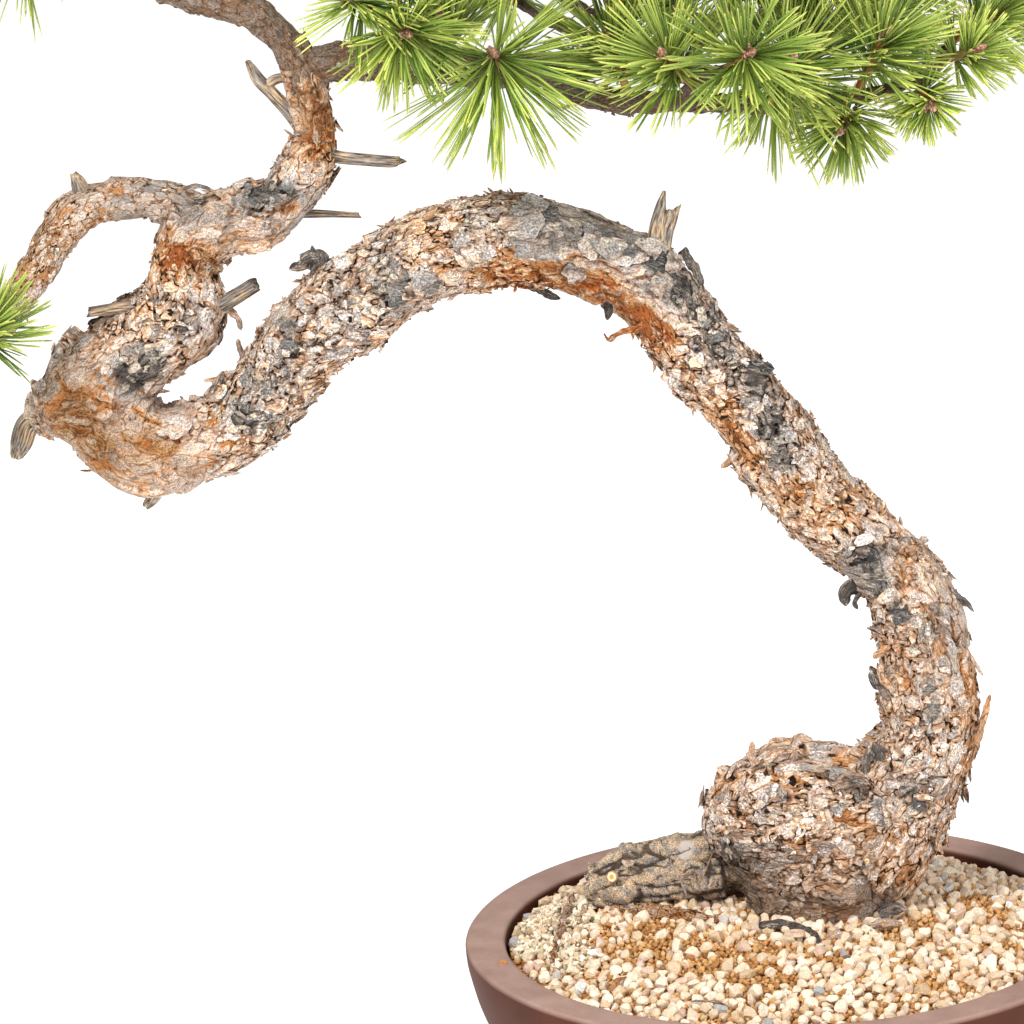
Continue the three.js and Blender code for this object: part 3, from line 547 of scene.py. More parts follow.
TWIGS = [
    [(-112, 13, 514, 3.6), (-104, 38, 522, 3.2), (-88, 62, 528, 2.7), (-66, 80, 530, 2.1)],
    [(-86, 8, 534, 3.3), (-84, -18, 538, 2.9), (-72, -44, 538, 2.4), (-54, -64, 534, 2)],
    [(-132, 9, 492, 3.4), (-146, 22, 508, 3), (-164, 36, 518, 2.5), (-184, 46, 520, 2)],
    [(-30, 10, 459, 2.9), (-20, 4, 478, 2.7), (-2, -4, 496, 2.4), (22, -8, 506, 2.1),
     (44, -8, 508, 1.8)],
    [(-6, 17, 460, 2.6), (2, 38, 474, 2.3), (12, 58, 482, 2)],
    [(-34, -23, 453, 2.6), (-28, -42, 464, 2.3), (-16, -58, 472, 1.9)],
    [(-142, 0, 473, 2.9), (-148, -13, 487, 2.5), (-156, -22, 499, 2)],
    [(-57, 3, 466, 2.7), (-55, 10, 478, 2.6), (-68, 16, 486, 2.3), (-82, 22, 494, 2.1),
     (-96, 30, 506, 1.8)],
    [(-58, 6, 470, 2), (-70, 16, 476, 1.9), (-84, 28, 481, 1.8), (-98, 42, 488, 1.7)],
    [(-252, -4, 516, 4.2), (-272, -8, 522, 3.6), (-294, -12, 526, 3), (-318, -13, 530, 2.3)],
    [(-262, 0, 536, 3.4), (-268, 26, 544, 2.8), (-282, 48, 546, 2.2)],
    [(-338, -9, 351, 3), (-344, -30, 348, 2.5), (-350, -48, 350, 2)],
]
SNAGS = [
    [(-46, -24, 392, 3.4), (-45, -24, 401, 3.2), (-43.4, -24, 409, 2.4), (-41.6, -24, 417, 0.6)],
    [(-43.5, -23, 392, 3.4), (-42, -23, 400, 3.4), (-40, -23, 405, 3.1), (-38.2, -23, 409.5, 2.6)],
    [(-304, 34, 322, 5), (-314.5, 34, 319, 4.6), (-318.5, 33, 311, 4.4), (-321, 33, 305, 2.8)],
    [(-261, 27, 292, 4), (-263.5, 27, 286, 3), (-266, 27, 282.5, 1.8)],
    [(-256, 28, 368, 3), (-268, 26, 369, 2.6), (-285, 25, 368, 2)],
    [(-240, 24, 366, 4), (-227, 20, 371, 3.6), (-214, 18, 378, 3.2)],
    [(-187, 7, 440, 3.4), (-193, 8, 450, 3), (-201, 8, 460, 2.7), (-207, 8, 467, 2.5),
     (-211, 8, 475, 1.2)],
    [(-204, 8, 463, 2.4), (-199, 9, 466, 2.4), (-191, 9, 466, 1.8)],
    [(-186, 7, 436, 3.2), (-172, 5, 432, 2.8), (-150, 2, 430, 2.4)],
    [(-200, 13, 408, 2), (-186, 12, 408, 1.6), (-168, 9, 407, 1.2)],
    [(-281, 8, 416, 4), (-284, 8, 426, 3.4), (-286.5, 8, 431.5, 1.6)],
]


# %% Rings along a line
def smooth_line(points, step):
    """Between two points each value is the cubic whose slope at a point is half the way from
    the point before to the point after. The curve is then cut into even steps."""
    line = np.array(points, float)
    before = np.vstack([2 * line[0] - line[1], line[:-2]])[:, None]
    after = np.vstack([line[2:], 2 * line[-1] - line[-2]])[:, None]
    start, end = line[:-1, None], line[1:, None]
    t = np.linspace(0, 1, 24, endpoint=False)[None, :, None]
    curve = 0.5 * (2 * start + (end - before) * t
                   + (2 * before - 5 * start + 4 * end - after) * t ** 2
                   + (3 * start - before - 3 * end + after) * t ** 3)
    curve = np.vstack([curve.reshape(-1, line.shape[1]), line[-1]])
    along = np.concatenate([[0], np.cumsum(lengths(np.diff(curve[:, :3], axis=0))[:, 0])])
    count = max(3, int(round(along[-1] / step)) + 1)
    even = np.linspace(0, along[-1], count)
    return np.stack([np.interp(even, along, column) for column in curve.T], 1), even


def ring_axes(centres):
    """The first ring's side axis looks at the viewer. Each next one is the last one, made
    square to the line again."""
    along = unit(np.gradient(centres, axis=0))
    side = np.zeros_like(along)
    last = np.array([0.02, -1.0, 0.01])
    for i, direction in enumerate(along):
        last = last - direction * (last @ direction)
        last /= np.linalg.norm(last)
        side[i] = last
    return along, side, np.cross(along, side)


def sweep(points, step, around, seed):
    """Rings of points: centre + radius * (side * cos + up * sin). The flat place of a point
    is the same tube made straight, which keeps patterns even round every bend."""
    line, travelled = smooth_line(points, step)
    centres, radius = line[:, :3], line[:, 3]
    along, side, up = ring_axes(centres)
    cos, sin = np.cos(turns(around)), np.sin(turns(around))
    outward = side[:, None] * cos[None, :, None] + up[:, None] * sin[None, :, None]
    flat = together(travelled[:, None] + seed * 1000.0, radius[:, None] * cos, radius[:, None] * sin)
    return {
        "centres": centres, "outward": outward, "flat": flat, "along": along,
        "radius": np.broadcast_to(radius[:, None], flat.shape[:2]),
    }


def tube_faces(rings, around):
    """Squares between rings, and a fan of triangles on each end round one extra point."""
    ring, place = np.meshgrid(np.arange(rings - 1) * around, np.arange(around), indexing="ij")
    ahead = (place + 1) % around
    squares = np.stack([ring + place, ring + ahead, ring + around + ahead, ring + around + place], -1)
    spot = np.arange(around)
    first, last = rings * around, rings * around + 1
    start_fan = np.stack([np.full(around, first), (spot + 1) % around, spot], 1)
    end = (rings - 1) * around
    end_fan = np.stack([np.full(around, last), end + spot, end + (spot + 1) % around], 1)
    return [squares.reshape(-1, 4), np.vstack([start_fan, end_fan])]


# %% [markdown]
# ## Bark
# Old pine bark is a stack of thin papery plates with ragged borders. Where a plate has dropped
# off, the orange layer below shows. Old outer plates weather to grey, and some carry a
# blue-black crust. Three sizes make it here. The mesh is pushed out shield by shield and scale
# by scale, each at its own height and a little tilted. The material then breaks every one of
# them into finer plates, with painted shade as dark lines along their borders and in the cracks,
# and a painted highlight as a pale rim. Thousands of loose flakes come last.

# %% Bark weather
# Places on the trunk and how far their mark spreads, in millimetres. Strength 1 is grey, 2 is
# the blue-black crust, and below 0 the orange inner bark shows.
WEATHERED = [
    (-118, -36, 412, 16, 0.6), (-97, -38, 410, 16, 0.7), (-79, -38, 402, 15, 0.75),
    (-60, -36, 394, 15, 0.7), (-43, -36, 385, 14, 0.7), (-31, -34, 366, 14, 1.1),
    (-22, -32, 350, 11, 1.2), (-150, -22, 385, 13, 0.7), (-176, -15, 368, 14, 0.6),
    (-197, -12, 356, 14, 0.5), (-211, -8, 340, 13, 0.5), (-222, -4, 325, 8, 1.3),
    (-2, -30, 318, 8, 1.7), (5, -30, 300, 9, 1.6), (38, -18, 256, 10, 1.8),
    (41, -14, 241, 7, 1.4), (-8, -30, 333, 9, 1.3), (-269, 14, 340, 8, 1.6),
    (-260, 14, 345, 8, 1.4), (-244, 6, 374, 12, 1.2), (-236, 4, 358, 10, 1.3),
    (-21, -22, 131, 9, 1.2), (52, -18, 156, 11, 1.3), (34, -20, 153, 8, 1.1),
    (62, -12, 178, 8, 0.9), (-10, -26, 150, 7, 0.8), (62, -12, 222, 9, 0.4),
    (-210, 3, 419, 8, 1.4), (-196, -1, 419, 6, 1.3), (-239, 7, 412, 9, 0.9),
    (-197, -2, 414, 6, -0.6), (-42, 15, 119, 6, 1.7), (-24, -10, 124, 9, 0.8), (-268, 11, 341, 7, 1.2),
    (-111, -34, 386, 12, -2.1), (-86, -38, 384, 12, -2.3), (-70, -38, 378, 11, -2.3),
    (-57, -37, 368, 10, -2.3), (-47, -35, 356, 9, -2.1), (-22, -30, 310, 8, -1.0),
    (-12, -32, 300, 8, -0.9), (12, -28, 290, 9, -1.0), (24, -24, 277, 8, -0.9),
    (50, -12, 246, 8, -0.6), (10, -30, 157, 8, -0.9), (28, -24, 140, 9, -0.7),
    (-183, -4, 455, 12, -1.1), (-185, -4, 440, 10, -0.9), (-297, 16, 330, 14, -0.7),
    (-286, 14, 312, 15, -0.7), (-268, 12, 306, 15, -0.7), (-250, 8, 306, 13, -0.6),
    (-130, -32, 392, 8, -0.6), (-146, -22, 398, 8, -0.7), (84, 0, 196, 9, -0.9),
    (-241, 5, 388, 18, -1.7), (-20, -28, 329, 9, -1.2), (-7, -24, 340, 7, 0.9),
]
BEIGE = 0.3
UNEVEN = 0.6
# Places where the plates are large and lie flat, and how far that reaches.
CALM = [
    (-290, 12, 325, 30), (-268, 12, 305, 26), (-85, -38, 402, 24), (-50, -38, 388, 22),
    (-205, 0, 408, 14), (-185, -4, 450, 14), (40, -14, 250, 10),
]
# Long splits between plates, each a line of points. The bark sinks along them, and the material paints
# them dark as shade.
SPLITS = [
    [(-301, 14, 345), (-299, 14, 340), (-296, 14, 336), (-289, 14, 335), (-280, 14, 330),
     (-273, 14, 327), (-262, 14, 321), (-256, 14, 319), (-249, 14, 313)],
    [(-245, 8, 318), (-241, 8, 315), (-236, 8, 314)],
    [(-280, 14, 342), (-277, 14, 338)],
    [(-110, -42, 411), (-109, -42, 404), (-106, -42, 398), (-97, -42, 396), (-86, -40, 395),
     (-74, -40, 395), (-67, -40, 391), (-57, -40, 386), (-47, -40, 385)],
    [(-30, -22, 153), (-22, -22, 148), (-15, -22, 141), (1, -22, 135)],
    [(20, -24, 156), (27, -24, 151), (32, -24, 144), (34, -24, 133)],
    [(-3, -22, 116), (9, -22, 112), (21, -22, 115)],
    [(51, -12, 217), (52, -12, 205), (55, -12, 191), (59, -12, 175)],
    [(75, -6, 228), (78, -6, 210), (79, -6, 192), (76, -6, 179)],
    [(-14, -28, 316), (-6, -28, 306), (2, -28, 294), (10, -28, 282)],
    [(-234, 2, 376), (-234, 2, 363), (-238, 2, 353)],
    [(-21, -9, 153), (-25, -11, 141), (-21, -14, 128), (-12, -18, 118)],
    [(5, -26, 140), (7, -27, 131), (5, -26, 117), (9, -23, 107)],
    [(50, -17, 134), (43, -21, 123), (39, -21, 111)],
    [(59, -16, 133), (51, -19, 124), (47, -15, 111)],
    [(-80, 20, 108), (-69, 17, 112), (-58, 14, 113), (-48, 12, 112), (-37, 8, 113)],
    [(-31, 12, 120), (-33, 10, 114), (-33, 6, 108)],
    [(-62, 18, 119), (-53, 20, 117), (-48, 14, 115)],
    [(-65, 10, 106), (-54, 10, 104), (-41, 7, 106)],
    [(-270, 10, 346), (-266, 10, 341), (-264, 12, 336), (-260, 12, 334)],
    [(-274, 12, 341), (-268, 12, 337), (-262, 12, 331)],
    [(-214, 2, 415), (-204, -2, 412), (-193, -2, 412)],
]
# Hollows in the bark: x, y, z, how far each reaches and how deep it is. The material also paints shade in
# them.
HOLLOWS = [
    (-271, 11, 342, 5, 4), (-263, 12, 337, 5, 4), (-197, -2, 414, 6, 2), (-98, -43, 396, 3.5, 3),
    (-32, 8, 113, 5, 4), (-28, -8, 120, 4.5, 3), (38, -21, 113, 5, 2), (41, -6, 170, 5, 3),
    (-56, 11, 112, 4, 2), (12, -25, 122, 5, 2), (-212, 2, 409, 4, 1.5), (-135, -35, 390, 3.5, 3),
]
SPLIT_DEPTH = 1.7
SPLIT_REACH = 9.0  # a split's depth in y is not known, so it counts this far in front and behind
WEATHER_SEED = 900


def bell(points, x, y, z, reach):
    """The exponential of minus the square of the distance over the reach: 1 at the place."""
    return np.exp(-((points - np.array([x, y, z])) ** 2).sum(-1) / reach ** 2)


def weather_at(points):
    """Uneven beige, with noise 26 mm wide, plus each named place's strength times its bell."""
    value = BEIGE + UNEVEN * rough_noise(points, 26.0, WEATHER_SEED, 3)
    for *place, strength in WEATHERED:
        value = value + strength * bell(points, *place)
    return np.clip(value, -1, 2)


def busy_at(points):
    """1 where the bark flakes finely, less in calm places, with noise 34 mm wide."""
    value = 0.75 + 0.6 * smooth_noise(points, 34.0, 61)
    for place in CALM:
        value = value - 0.9 * bell(points, *place)
    return np.clip(value, 0.08, 1)


def split_at(points):
    """The way to the nearest split, seen from the front. Each line is cut every millimetre."""
    nearest = np.full(points.shape[:-1], 99.0)
    for line in SPLITS:
        marks, _ = smooth_line([(*point, 0) for point in line], 1.0)
        for x, y, z, _ in marks:
            deep = np.abs(points[..., 1] - y) / SPLIT_REACH
            away = np.hypot(points[..., 0] - x, points[..., 2] - z)
            nearest = np.minimum(nearest, away + 3 * np.maximum(deep - 1, 0))
    return nearest


def hollow_at(points):
    """How deep the hollows are at a point, and the share of the way into the nearest."""
    depth, inside = np.zeros(points.shape[:-1]), np.zeros(points.shape[:-1])
    for *place, deep in HOLLOWS:
        near = bell(points, *place)
        depth, inside = depth + deep * near, np.maximum(inside, near)
    return depth, inside


# %% Bark relief
SHIELD_SIZE = 17.0
SCALE_SIZE = 8.0
CRACK = 0.55  # the width over which a plate falls off at its border
DROPPED = 0.2  # the share of plates that have come off


def bark_relief(flat, base, weather, coarse, seed):
    """Height = scales + big shields where the bark is weathered or calm + fine roughness, less
    the splits and hollows. A plate's height is a step of its own plus a tilt, cut down to
    nothing at its ragged border. Rise is 0 in a crack, about a third where a plate has come
    off, and 1 on a plate. It falls along the splits and in the hollows too, and where it is low
    the materials paint shade."""
    busy = busy_at(base)
    ragged = np.stack([rough_noise(flat, 3.4, seed + 11 + axis, 3) for axis in range(3)], -1)
    stretched = flat * np.array([0.6, 1, 1]) + 1.7 * ragged
    border, pick, offset = plates(stretched, SCALE_SIZE * coarse, seed)
    lean = np.stack([np.cos(pick * 91), np.sin(pick * 57), np.cos(pick * 33)], -1)
    tilt = (offset * lean).sum(-1) * 0.22 / coarse
    off = pick < DROPPED
    step = np.where(off, 0.05, 0.35 + 0.65 * pick + tilt)
    scale_rise = ease(border, 0, CRACK) * step
    border_2, pick_2, offset_2 = plates(stretched + 40, SHIELD_SIZE * coarse, seed + 50)
    lean_2 = np.stack([np.sin(pick_2 * 71), np.cos(pick_2 * 87), np.sin(pick_2 * 29)], -1)
    tilt_2 = (offset_2 * lean_2).sum(-1) * 0.12 / coarse
    cover = ease(weather + 0.9 * (pick_2 - 0.5) + 0.9 * (1 - busy), 0.4, 0.65)
    shield_rise = cover * ease(border_2, 0, CRACK) * (0.8 + 0.6 * pick_2 + tilt_2)
    fine = 0.22 * rough_noise(flat, 1.8, seed + 31, 2)
    height = coarse * (1.15 * scale_rise * (1 - 0.7 * cover) + 1.6 * shield_rise + fine)
    split = split_at(base)
    deep, inside = hollow_at(base)
    height -= SPLIT_DEPTH * np.exp(-(split / 0.9) ** 2) + deep
    covered = (cover > 0.5) & (shield_rise > 0.4)
    crack = np.where(covered, ease(border_2, 0, CRACK), ease(border, 0, CRACK))
    # A low rise, in cracks, along splits and in hollows, is where the materials paint shade.
    rise = crack * np.where(off & ~covered, 0.35, 1.0) * ease(split, 0.3, 1.5) * (1 - 0.85 * inside)
    return height, np.where(covered, pick_2, pick), rise, busy


# %% Bark material
def bark_material():
    """Weather chooses between orange, beige, grey and blue-black, shifted plate by plate. A
    plate has a pale rim, which is a painted highlight, then the warm inner bark, then a dark line
    of painted shade. Thin sheets get a painted highlight on their raised edge and painted shade
    just below it, and painted shade darkens cracks, splits, hollows and the undersides of loose
    flakes, where the rise is low. Fibres run along the limb, fine plates only show where the
    bark is busy, and the shade attribute browns the crown."""
    material, tree = new_material("flaking bark", 0.9, 0.2)
    grown = attribute(tree, "grown", "Vector")
    busy = attribute(tree, "busy")
    long = vectors(tree, "MULTIPLY", grown, (0.5, 1.0, 1.0))
    big = use_group(tree, PLATES, Place=long, Size=7.0, Ragged=6.5)
    small = use_group(tree, PLATES, Place=long, Size=2.8, Ragged=2.6)
    strands = vectors(tree, "MULTIPLY", grown, (0.3, 1.0, 1.0))
    fibre = noise(tree, strands, 1.5, 4.0, Roughness=0.7)
    wide = noise(tree, grown, 0.28, 2.0)
    speck = noise(tree, grown, 1.9, 1.0)
    big_tone, small_tone = separate(tree, big["Colour"]), separate(tree, small["Colour"])
    small_swing = times(tree, sums(tree, "SUBTRACT", small_tone[0], 0.5),
                        fit(tree, busy, 0, 1, 0.08, 0.5))
    weather = plus(tree, attribute(tree, "weather"), small_swing)
    for tone, swing in ((big_tone[0], 0.6), (attribute(tree, "pick"), 0.35)):
        weather = plus(tree, weather, fit(tree, tone, 0, 1, -swing / 2, swing / 2))
    share = fit(tree, weather, -1, 2)
    plate = ramp(
        tree, share, (0.03, 172, 103, 42), (0.15, 202, 146, 90),
        (0.28, 236, 204, 182), (0.42, 240, 223, 212), (0.55, 220, 209, 203),
        (0.69, 172, 166, 162), (0.84, 108, 107, 106), (1.0, 58, 60, 63))
    plate = mix(tree, fit(tree, small_tone[2], 0.82, 0.86, 0.0, 0.6), plate, paint(240, 222, 198))
    plate = mix(tree, fit(tree, small_tone[2], 0.16, 0.12, 0.0, busy), plate, paint(150, 136, 126))
    plate = mix(tree, fit(tree, big_tone[2], 0.14, 0.1, 0.0, 0.35), plate, paint(112, 96, 84))
    for part in (
            fit(tree, big_tone[1], 0, 1, 0.86, 1.12), fit(tree, busy, 0.1, 0.8, 0.7, 1.1),
            fit(tree, small_tone[1], 0, 1, 0.86, 1.12), fit(tree, fibre, 0.38, 0.62, 0.66, 1.22),
            fit(tree, speck, 0.4, 0.6, 0.58, 1.36)):
        plate = shade_by(tree, plate, part)
    under = ramp(
        tree, share, (0.0, 170, 92, 40), (0.25, 226, 158, 96),
        (0.5, 216, 164, 122), (0.78, 96, 86, 80))
    under = shade_by(tree, under, fit(tree, fibre, 0.35, 0.65, 0.6, 1.16))
    rise, big_gap = attribute(tree, "rise"), big["Gap"]
    calm = fit(tree, busy, 0.1, 0.6, 0.3, 0.8)
    rise = plus(tree, rise, fit(tree, fibre, 0.3, 0.7, -0.3, 0.3))
    # Painted highlight: a pale cream band set in from each big plate's border, weaker on grey bark.
    rim = times(tree, fit(tree, big_gap, 0.12, 0.3), fit(tree, big_gap, 0.6, 0.45, 0.0, calm))
    rim = times(tree, rim, fit(tree, share, 0.5, 0.7, 1.0, 0.25))
    colour = mix(tree, rim, plate, paint(238, 206, 172))
    # Painted highlight on the raised edge of each thin sheet, where its layer nears 1.
    colour = mix(tree, fit(tree, big["Layer"], 0.84, 1.0, 0.0, 0.5), colour, paint(240, 212, 180))
    colour = mix(tree, fit(tree, big_gap, 0.5, 0.66, 0.0, calm), colour, under)
    colour = mix(tree, fit(tree, rise, 0.6, 0.42), colour, under)
    # Painted shade from here on: a dark line just below each sheet's raised edge and on the big plates'
    # borders, over the share of their length that some gives; the fine plates' gaps darkened; and dark in
    # cracks, splits, hollows and under loose flakes, where the rise is low.
    dark = paint(30, 20, 16)
    some = times(tree, fit(tree, wide, 0.4, 0.54, 0.15, 1.0),
                 fit(tree, busy, 0.1, 0.6, 0.5, 1.0))
    fine_gap = times(tree, fit(tree, small["Gap"], 0.74, 0.88, 0.0, 0.6), busy)
    colour = mix(tree, fine_gap, colour, mix(tree, 0.25, dark, under))
    for line in (fit(tree, big["Layer"], 0.14, 0.07, 0.0, 0.6), fit(tree, big_gap, 0.78, 0.88)):
        colour = mix(tree, times(tree, line, some), colour, dark)
    deep = times(tree, fit(tree, rise, 0.2, 0.0, 0.0, 0.95), fit(tree, some, 0.1, 1.0, 0.55, 1.0))
    colour = mix(tree, deep, colour, dark)
    crown = ramp(tree, fibre, (0.3, 66, 54, 48), (0.5, 106, 88, 76), (0.7, 144, 122, 104))
    colour = mix(tree, times(tree, attribute(tree, "shade"), 0.85), colour, crown)
    small_height = times(tree, small["Height"], fit(tree, busy, 0, 1, 0.12, 0.5))
    height = plus(tree, times(tree, big["Height"], 0.9), small_height)
    height = plus(tree, height, times(tree, fibre, 0.8))
    return finish_material(material, colour, height, depth=1.7)


BARK = bark_material()


# %% Trunk and branches
# All bark darkens by this share between two heights, and each branch has a shade of its own.
CROWN_SHADE = 0.6
CROWN_START = 425.0
CROWN_FULL = 500.0
BRANCH_SHADES = (0.75, 0.85, 1.0, 1.0, 0.0, 1.0)


def bark_tube(points, step, around, seed, coarse=1.0, sink=0.75, shade=0.0, lumps=0.05, grooves=0.0):
    """A swept tube with bark. The rise is centred on the smooth radius by sinking it first.
    Grooves run along the limb in a slow twist: where stretched noise is near 0, they are deep,
    and the rise attribute falls there, so the material paints them dark as shade."""
    tube = sweep(points, step, around, seed)
    base = tube["centres"][:, None] + tube["outward"] * tube["radius"][..., None]
    swell = lumps * tube["radius"] * smooth_noise(tube["flat"], 6 + 15 * coarse, seed + 3)
    waves = 0.5 * rough_noise(tube["flat"], 9.0, seed, 2)
    drawn = tube["flat"] * np.array([0.22, 1, 1]) + waves[..., None]
    groove = np.exp(-(smooth_noise(drawn, 5.5, seed + 5) / 0.16) ** 2)
    swell = swell - grooves * groove
    weather = weather_at(base)
    height, pick, rise, busy = bark_relief(tube["flat"], base, weather, coarse, seed)
    rise = rise * (1 - min(grooves, 1) * groove)
    skin = base + tube["outward"] * swell[..., None]
    height = height - sink * coarse
    surface = skin + tube["outward"] * height[..., None]
    darkness = np.maximum(shade, CROWN_SHADE * ease(base[..., 2], CROWN_START, CROWN_FULL))
    return {**tube, "skin": skin, "surface": surface, "height": height, "weather": weather,
            "pick": pick, "rise": rise, "shade": darkness, "busy": busy,
            "grown": tube["flat"] / coarse}


VALUES = ("pick", "rise", "weather", "shade", "grown", "busy")


def join_tubes(tubes):
    """Several closed tubes as one set of points, faces and values."""
    points, faces, start = [], [], 0
    values = {key: [] for key in VALUES}
    for tube in tubes:
        rings, around = tube["surface"].shape[:2]
        points += [tube["surface"].reshape(-1, 3), tube["surface"][[0, -1]].mean(1)]
        squares, fans = tube_faces(rings, around)
        faces.append([squares + start, fans + start])
        for key, column in values.items():
            value = tube[key]
            column += [value.reshape(rings * around, *value.shape[2:]), value[[0, -1]].mean(1)]
        start += rings * around + 2
    return (np.vstack(points), [np.vstack([part[i] for part in faces]) for i in range(2)],
            {key: np.concatenate(column) for key, column in values.items()})


def bark_piece(name, tubes, material=BARK, flat=True):
    points, faces, values = join_tubes(tubes)
    smooth_faces, flat_faces = ([], faces) if flat else (faces, [])
    piece = make_piece(name, points, smooth_faces, material, flat_faces, **values)
    dress(piece, "bark", "trunk_and_branches")


trunk_tubes = [
    bark_tube(TRUNK_LOWER, 1.2, 100, seed=1, sink=1.3),
    bark_tube(TRUNK_UPPER, 1.2, 90, seed=2, sink=1.1),
]
root_tube = bark_tube(SURFACE_ROOT, 1.1, 76, seed=3, coarse=0.4, lumps=0.3, grooves=2.6)
root_lobes = [
    bark_tube(line, 0.9, 50, seed=6 + i, coarse=0.35, lumps=0.5, grooves=1.7)
    for i, line in enumerate(ROOT_LOBES)]
branch_tubes = [
    bark_tube(line, 1.5, 26, seed=10 + i, coarse=0.5, shade=shade)
    for i, (line, shade) in enumerate(zip(BRANCHES, BRANCH_SHADES))]
twig_tubes = [
    bark_tube(line, 1.9, 12, seed=30 + i, coarse=0.35, shade=1.0) for i, line in enumerate(TWIGS)]
bark_piece("lower_trunk", trunk_tubes[:1])
bark_piece("upper_trunk", trunk_tubes[1:])
bark_piece("branches", branch_tubes + twig_tubes)

# %% [markdown]
# ## Dead wood
# Snags are the stumps of branches that died and lost their bark. Bare pine wood greys in the
# weather and splits along its fibres, so their relief and colour are drawn out lengthwise, and
# the broken end is a row of splinters: each strip round the end reaches a different length.

# %% Dead wood
def dead_wood(name, light=1.0, drawn=0.08):
    """Fibres are noise stretched along the stub, and give it its grain. The deepest ones are
    splits, and their darkest tone is painted shade. Wood that was laid bare, where the weather
    is above 1, is pale, and where the rise is low, in cracks, grooves and hollows, painted shade
    darkens it."""
    material, tree = new_material(name, 0.85, 0.25)
    grown = attribute(tree, "grown", "Vector")
    strands = vectors(tree, "MULTIPLY", grown, (drawn, 1.0, 1.0))
    fibre = noise(tree, strands, 1.4, 5.0, Roughness=0.6)
    patches = noise(tree, grown, 0.12, 3.0)
    # The lightest fibre tones are grain; the darkest, in the deepest splits, are painted shade.
    bare = ramp(tree, fibre, (0.36, 70, 54, 42), (0.45, 142, 118, 94), (0.55, 184, 160, 132),
                (0.66, 218, 198, 168))
    old = ramp(tree, fibre, (0.36, 56, 50, 46), (0.5, 122, 112, 104), (0.64, 172, 160, 148))
    colour = shade_by(tree, mix(tree, fit(tree, patches, 0.42, 0.58), bare, old), light)
    # Weather above 1 is pale bare wood; a low rise, in cracks, grooves and hollows, gets painted shade.
    for key, low, high, tone in (
            ("weather", 1.1, 1.4, paint(226, 212, 202)), ("rise", 0.3, 0.05, paint(48, 36, 30))):
        colour = mix(tree, fit(tree, attribute(tree, key), low, high, 0.0, 0.85), colour, tone)
    return finish_material(material, colour, fibre, depth=1.2)


def dead_tube(points, step, around, seed):
    """A tube with grooves along it and a few flat sides. The last rings are drawn out strip by
    strip, each as far as noise says."""
    tube = sweep(points, step, around, seed)
    stretched = tube["flat"] * np.array([0.1, 1, 1])
    thick = tube["radius"].max()
    groove = (0.16 * smooth_noise(stretched, 0.42 * thick, seed)
              + 0.2 * smooth_noise(stretched, 1.3 * thick, seed + 4))
    surface = tube["centres"][:, None] + tube["outward"] * (tube["radius"] * (1 + groove))[..., None]
    rings = len(surface)
    near_end = ease(np.arange(rings), rings - 6, rings - 1)[:, None, None]
    strips = smooth_noise(tube["flat"][-1:], 0.9 * thick, seed + 9)[..., None]
    strips = strips + 0.4 * smooth_noise(tube["flat"][-1:], 0.35 * thick, seed + 8)[..., None]
    surface = surface + tube["along"][:, None] * near_end * strips * 1.3 * tube["radius"][-1, 0]
    still = np.zeros(surface.shape[:2])
    return {"surface": surface, "weather": still, "pick": still, "rise": still + 1, "shade": still,
            "grown": tube["flat"], "busy": still}


snag_tubes = [dead_tube(line, 1.0, 22, seed=60 + i) for i, line in enumerate(SNAGS)]
bark_piece("dead_snags", snag_tubes, dead_wood("weathered dead wood"), flat=False)
bark_piece("surface_root", [root_tube, *root_lobes], dead_wood("sandy root bark", 1.75, 0.45), flat=False)

# %% [markdown]
# ## The burl
# The swollen foot is four overlapping swellings. From a point inside them every direction
# meets the outer skin once, so the burl is a globe of directions, each pushed out to the
# farthest of the ellipsoids and a little further where two of them meet.

# %% Burl
BURL_HEART = np.array([13.0, 6.0, 126.0])
BURLS = [
    ((1, 5, 136), (33, 31, 31)),
    ((22, 8, 134), (32, 32, 31)),
    ((16, 5, 113), (34, 32, 21)),
    ((17, 8, 100), (31, 31, 26)),
]
BURL_RINGS = 130
BURL_AROUND = 180
BURL_SOFT = 2.5  # how far the swellings' skins flow together
BURL_COARSE = 1.5
BURL_SINK = 1.1
# The bark browns from one height down to the other, up to a share.
BURL_BROWN = 0.8
BROWN_TOP = 134.0
BROWN_BOTTOM = 108.0


def ellipsoid_reach(direction, centre, half):
    """The distance at which a ray from the heart leaves an ellipsoid: the larger root of the
    quadratic that its equation gives."""
    offset = (BURL_HEART - np.array(centre)) / np.array(half)
    ray = direction / np.array(half)
    a = (ray ** 2).sum(-1)
    b = (ray * offset).sum(-1)
    c = (offset ** 2).sum() - 1
    return (-b + np.sqrt(np.maximum(b ** 2 - a * c, 0))) / a


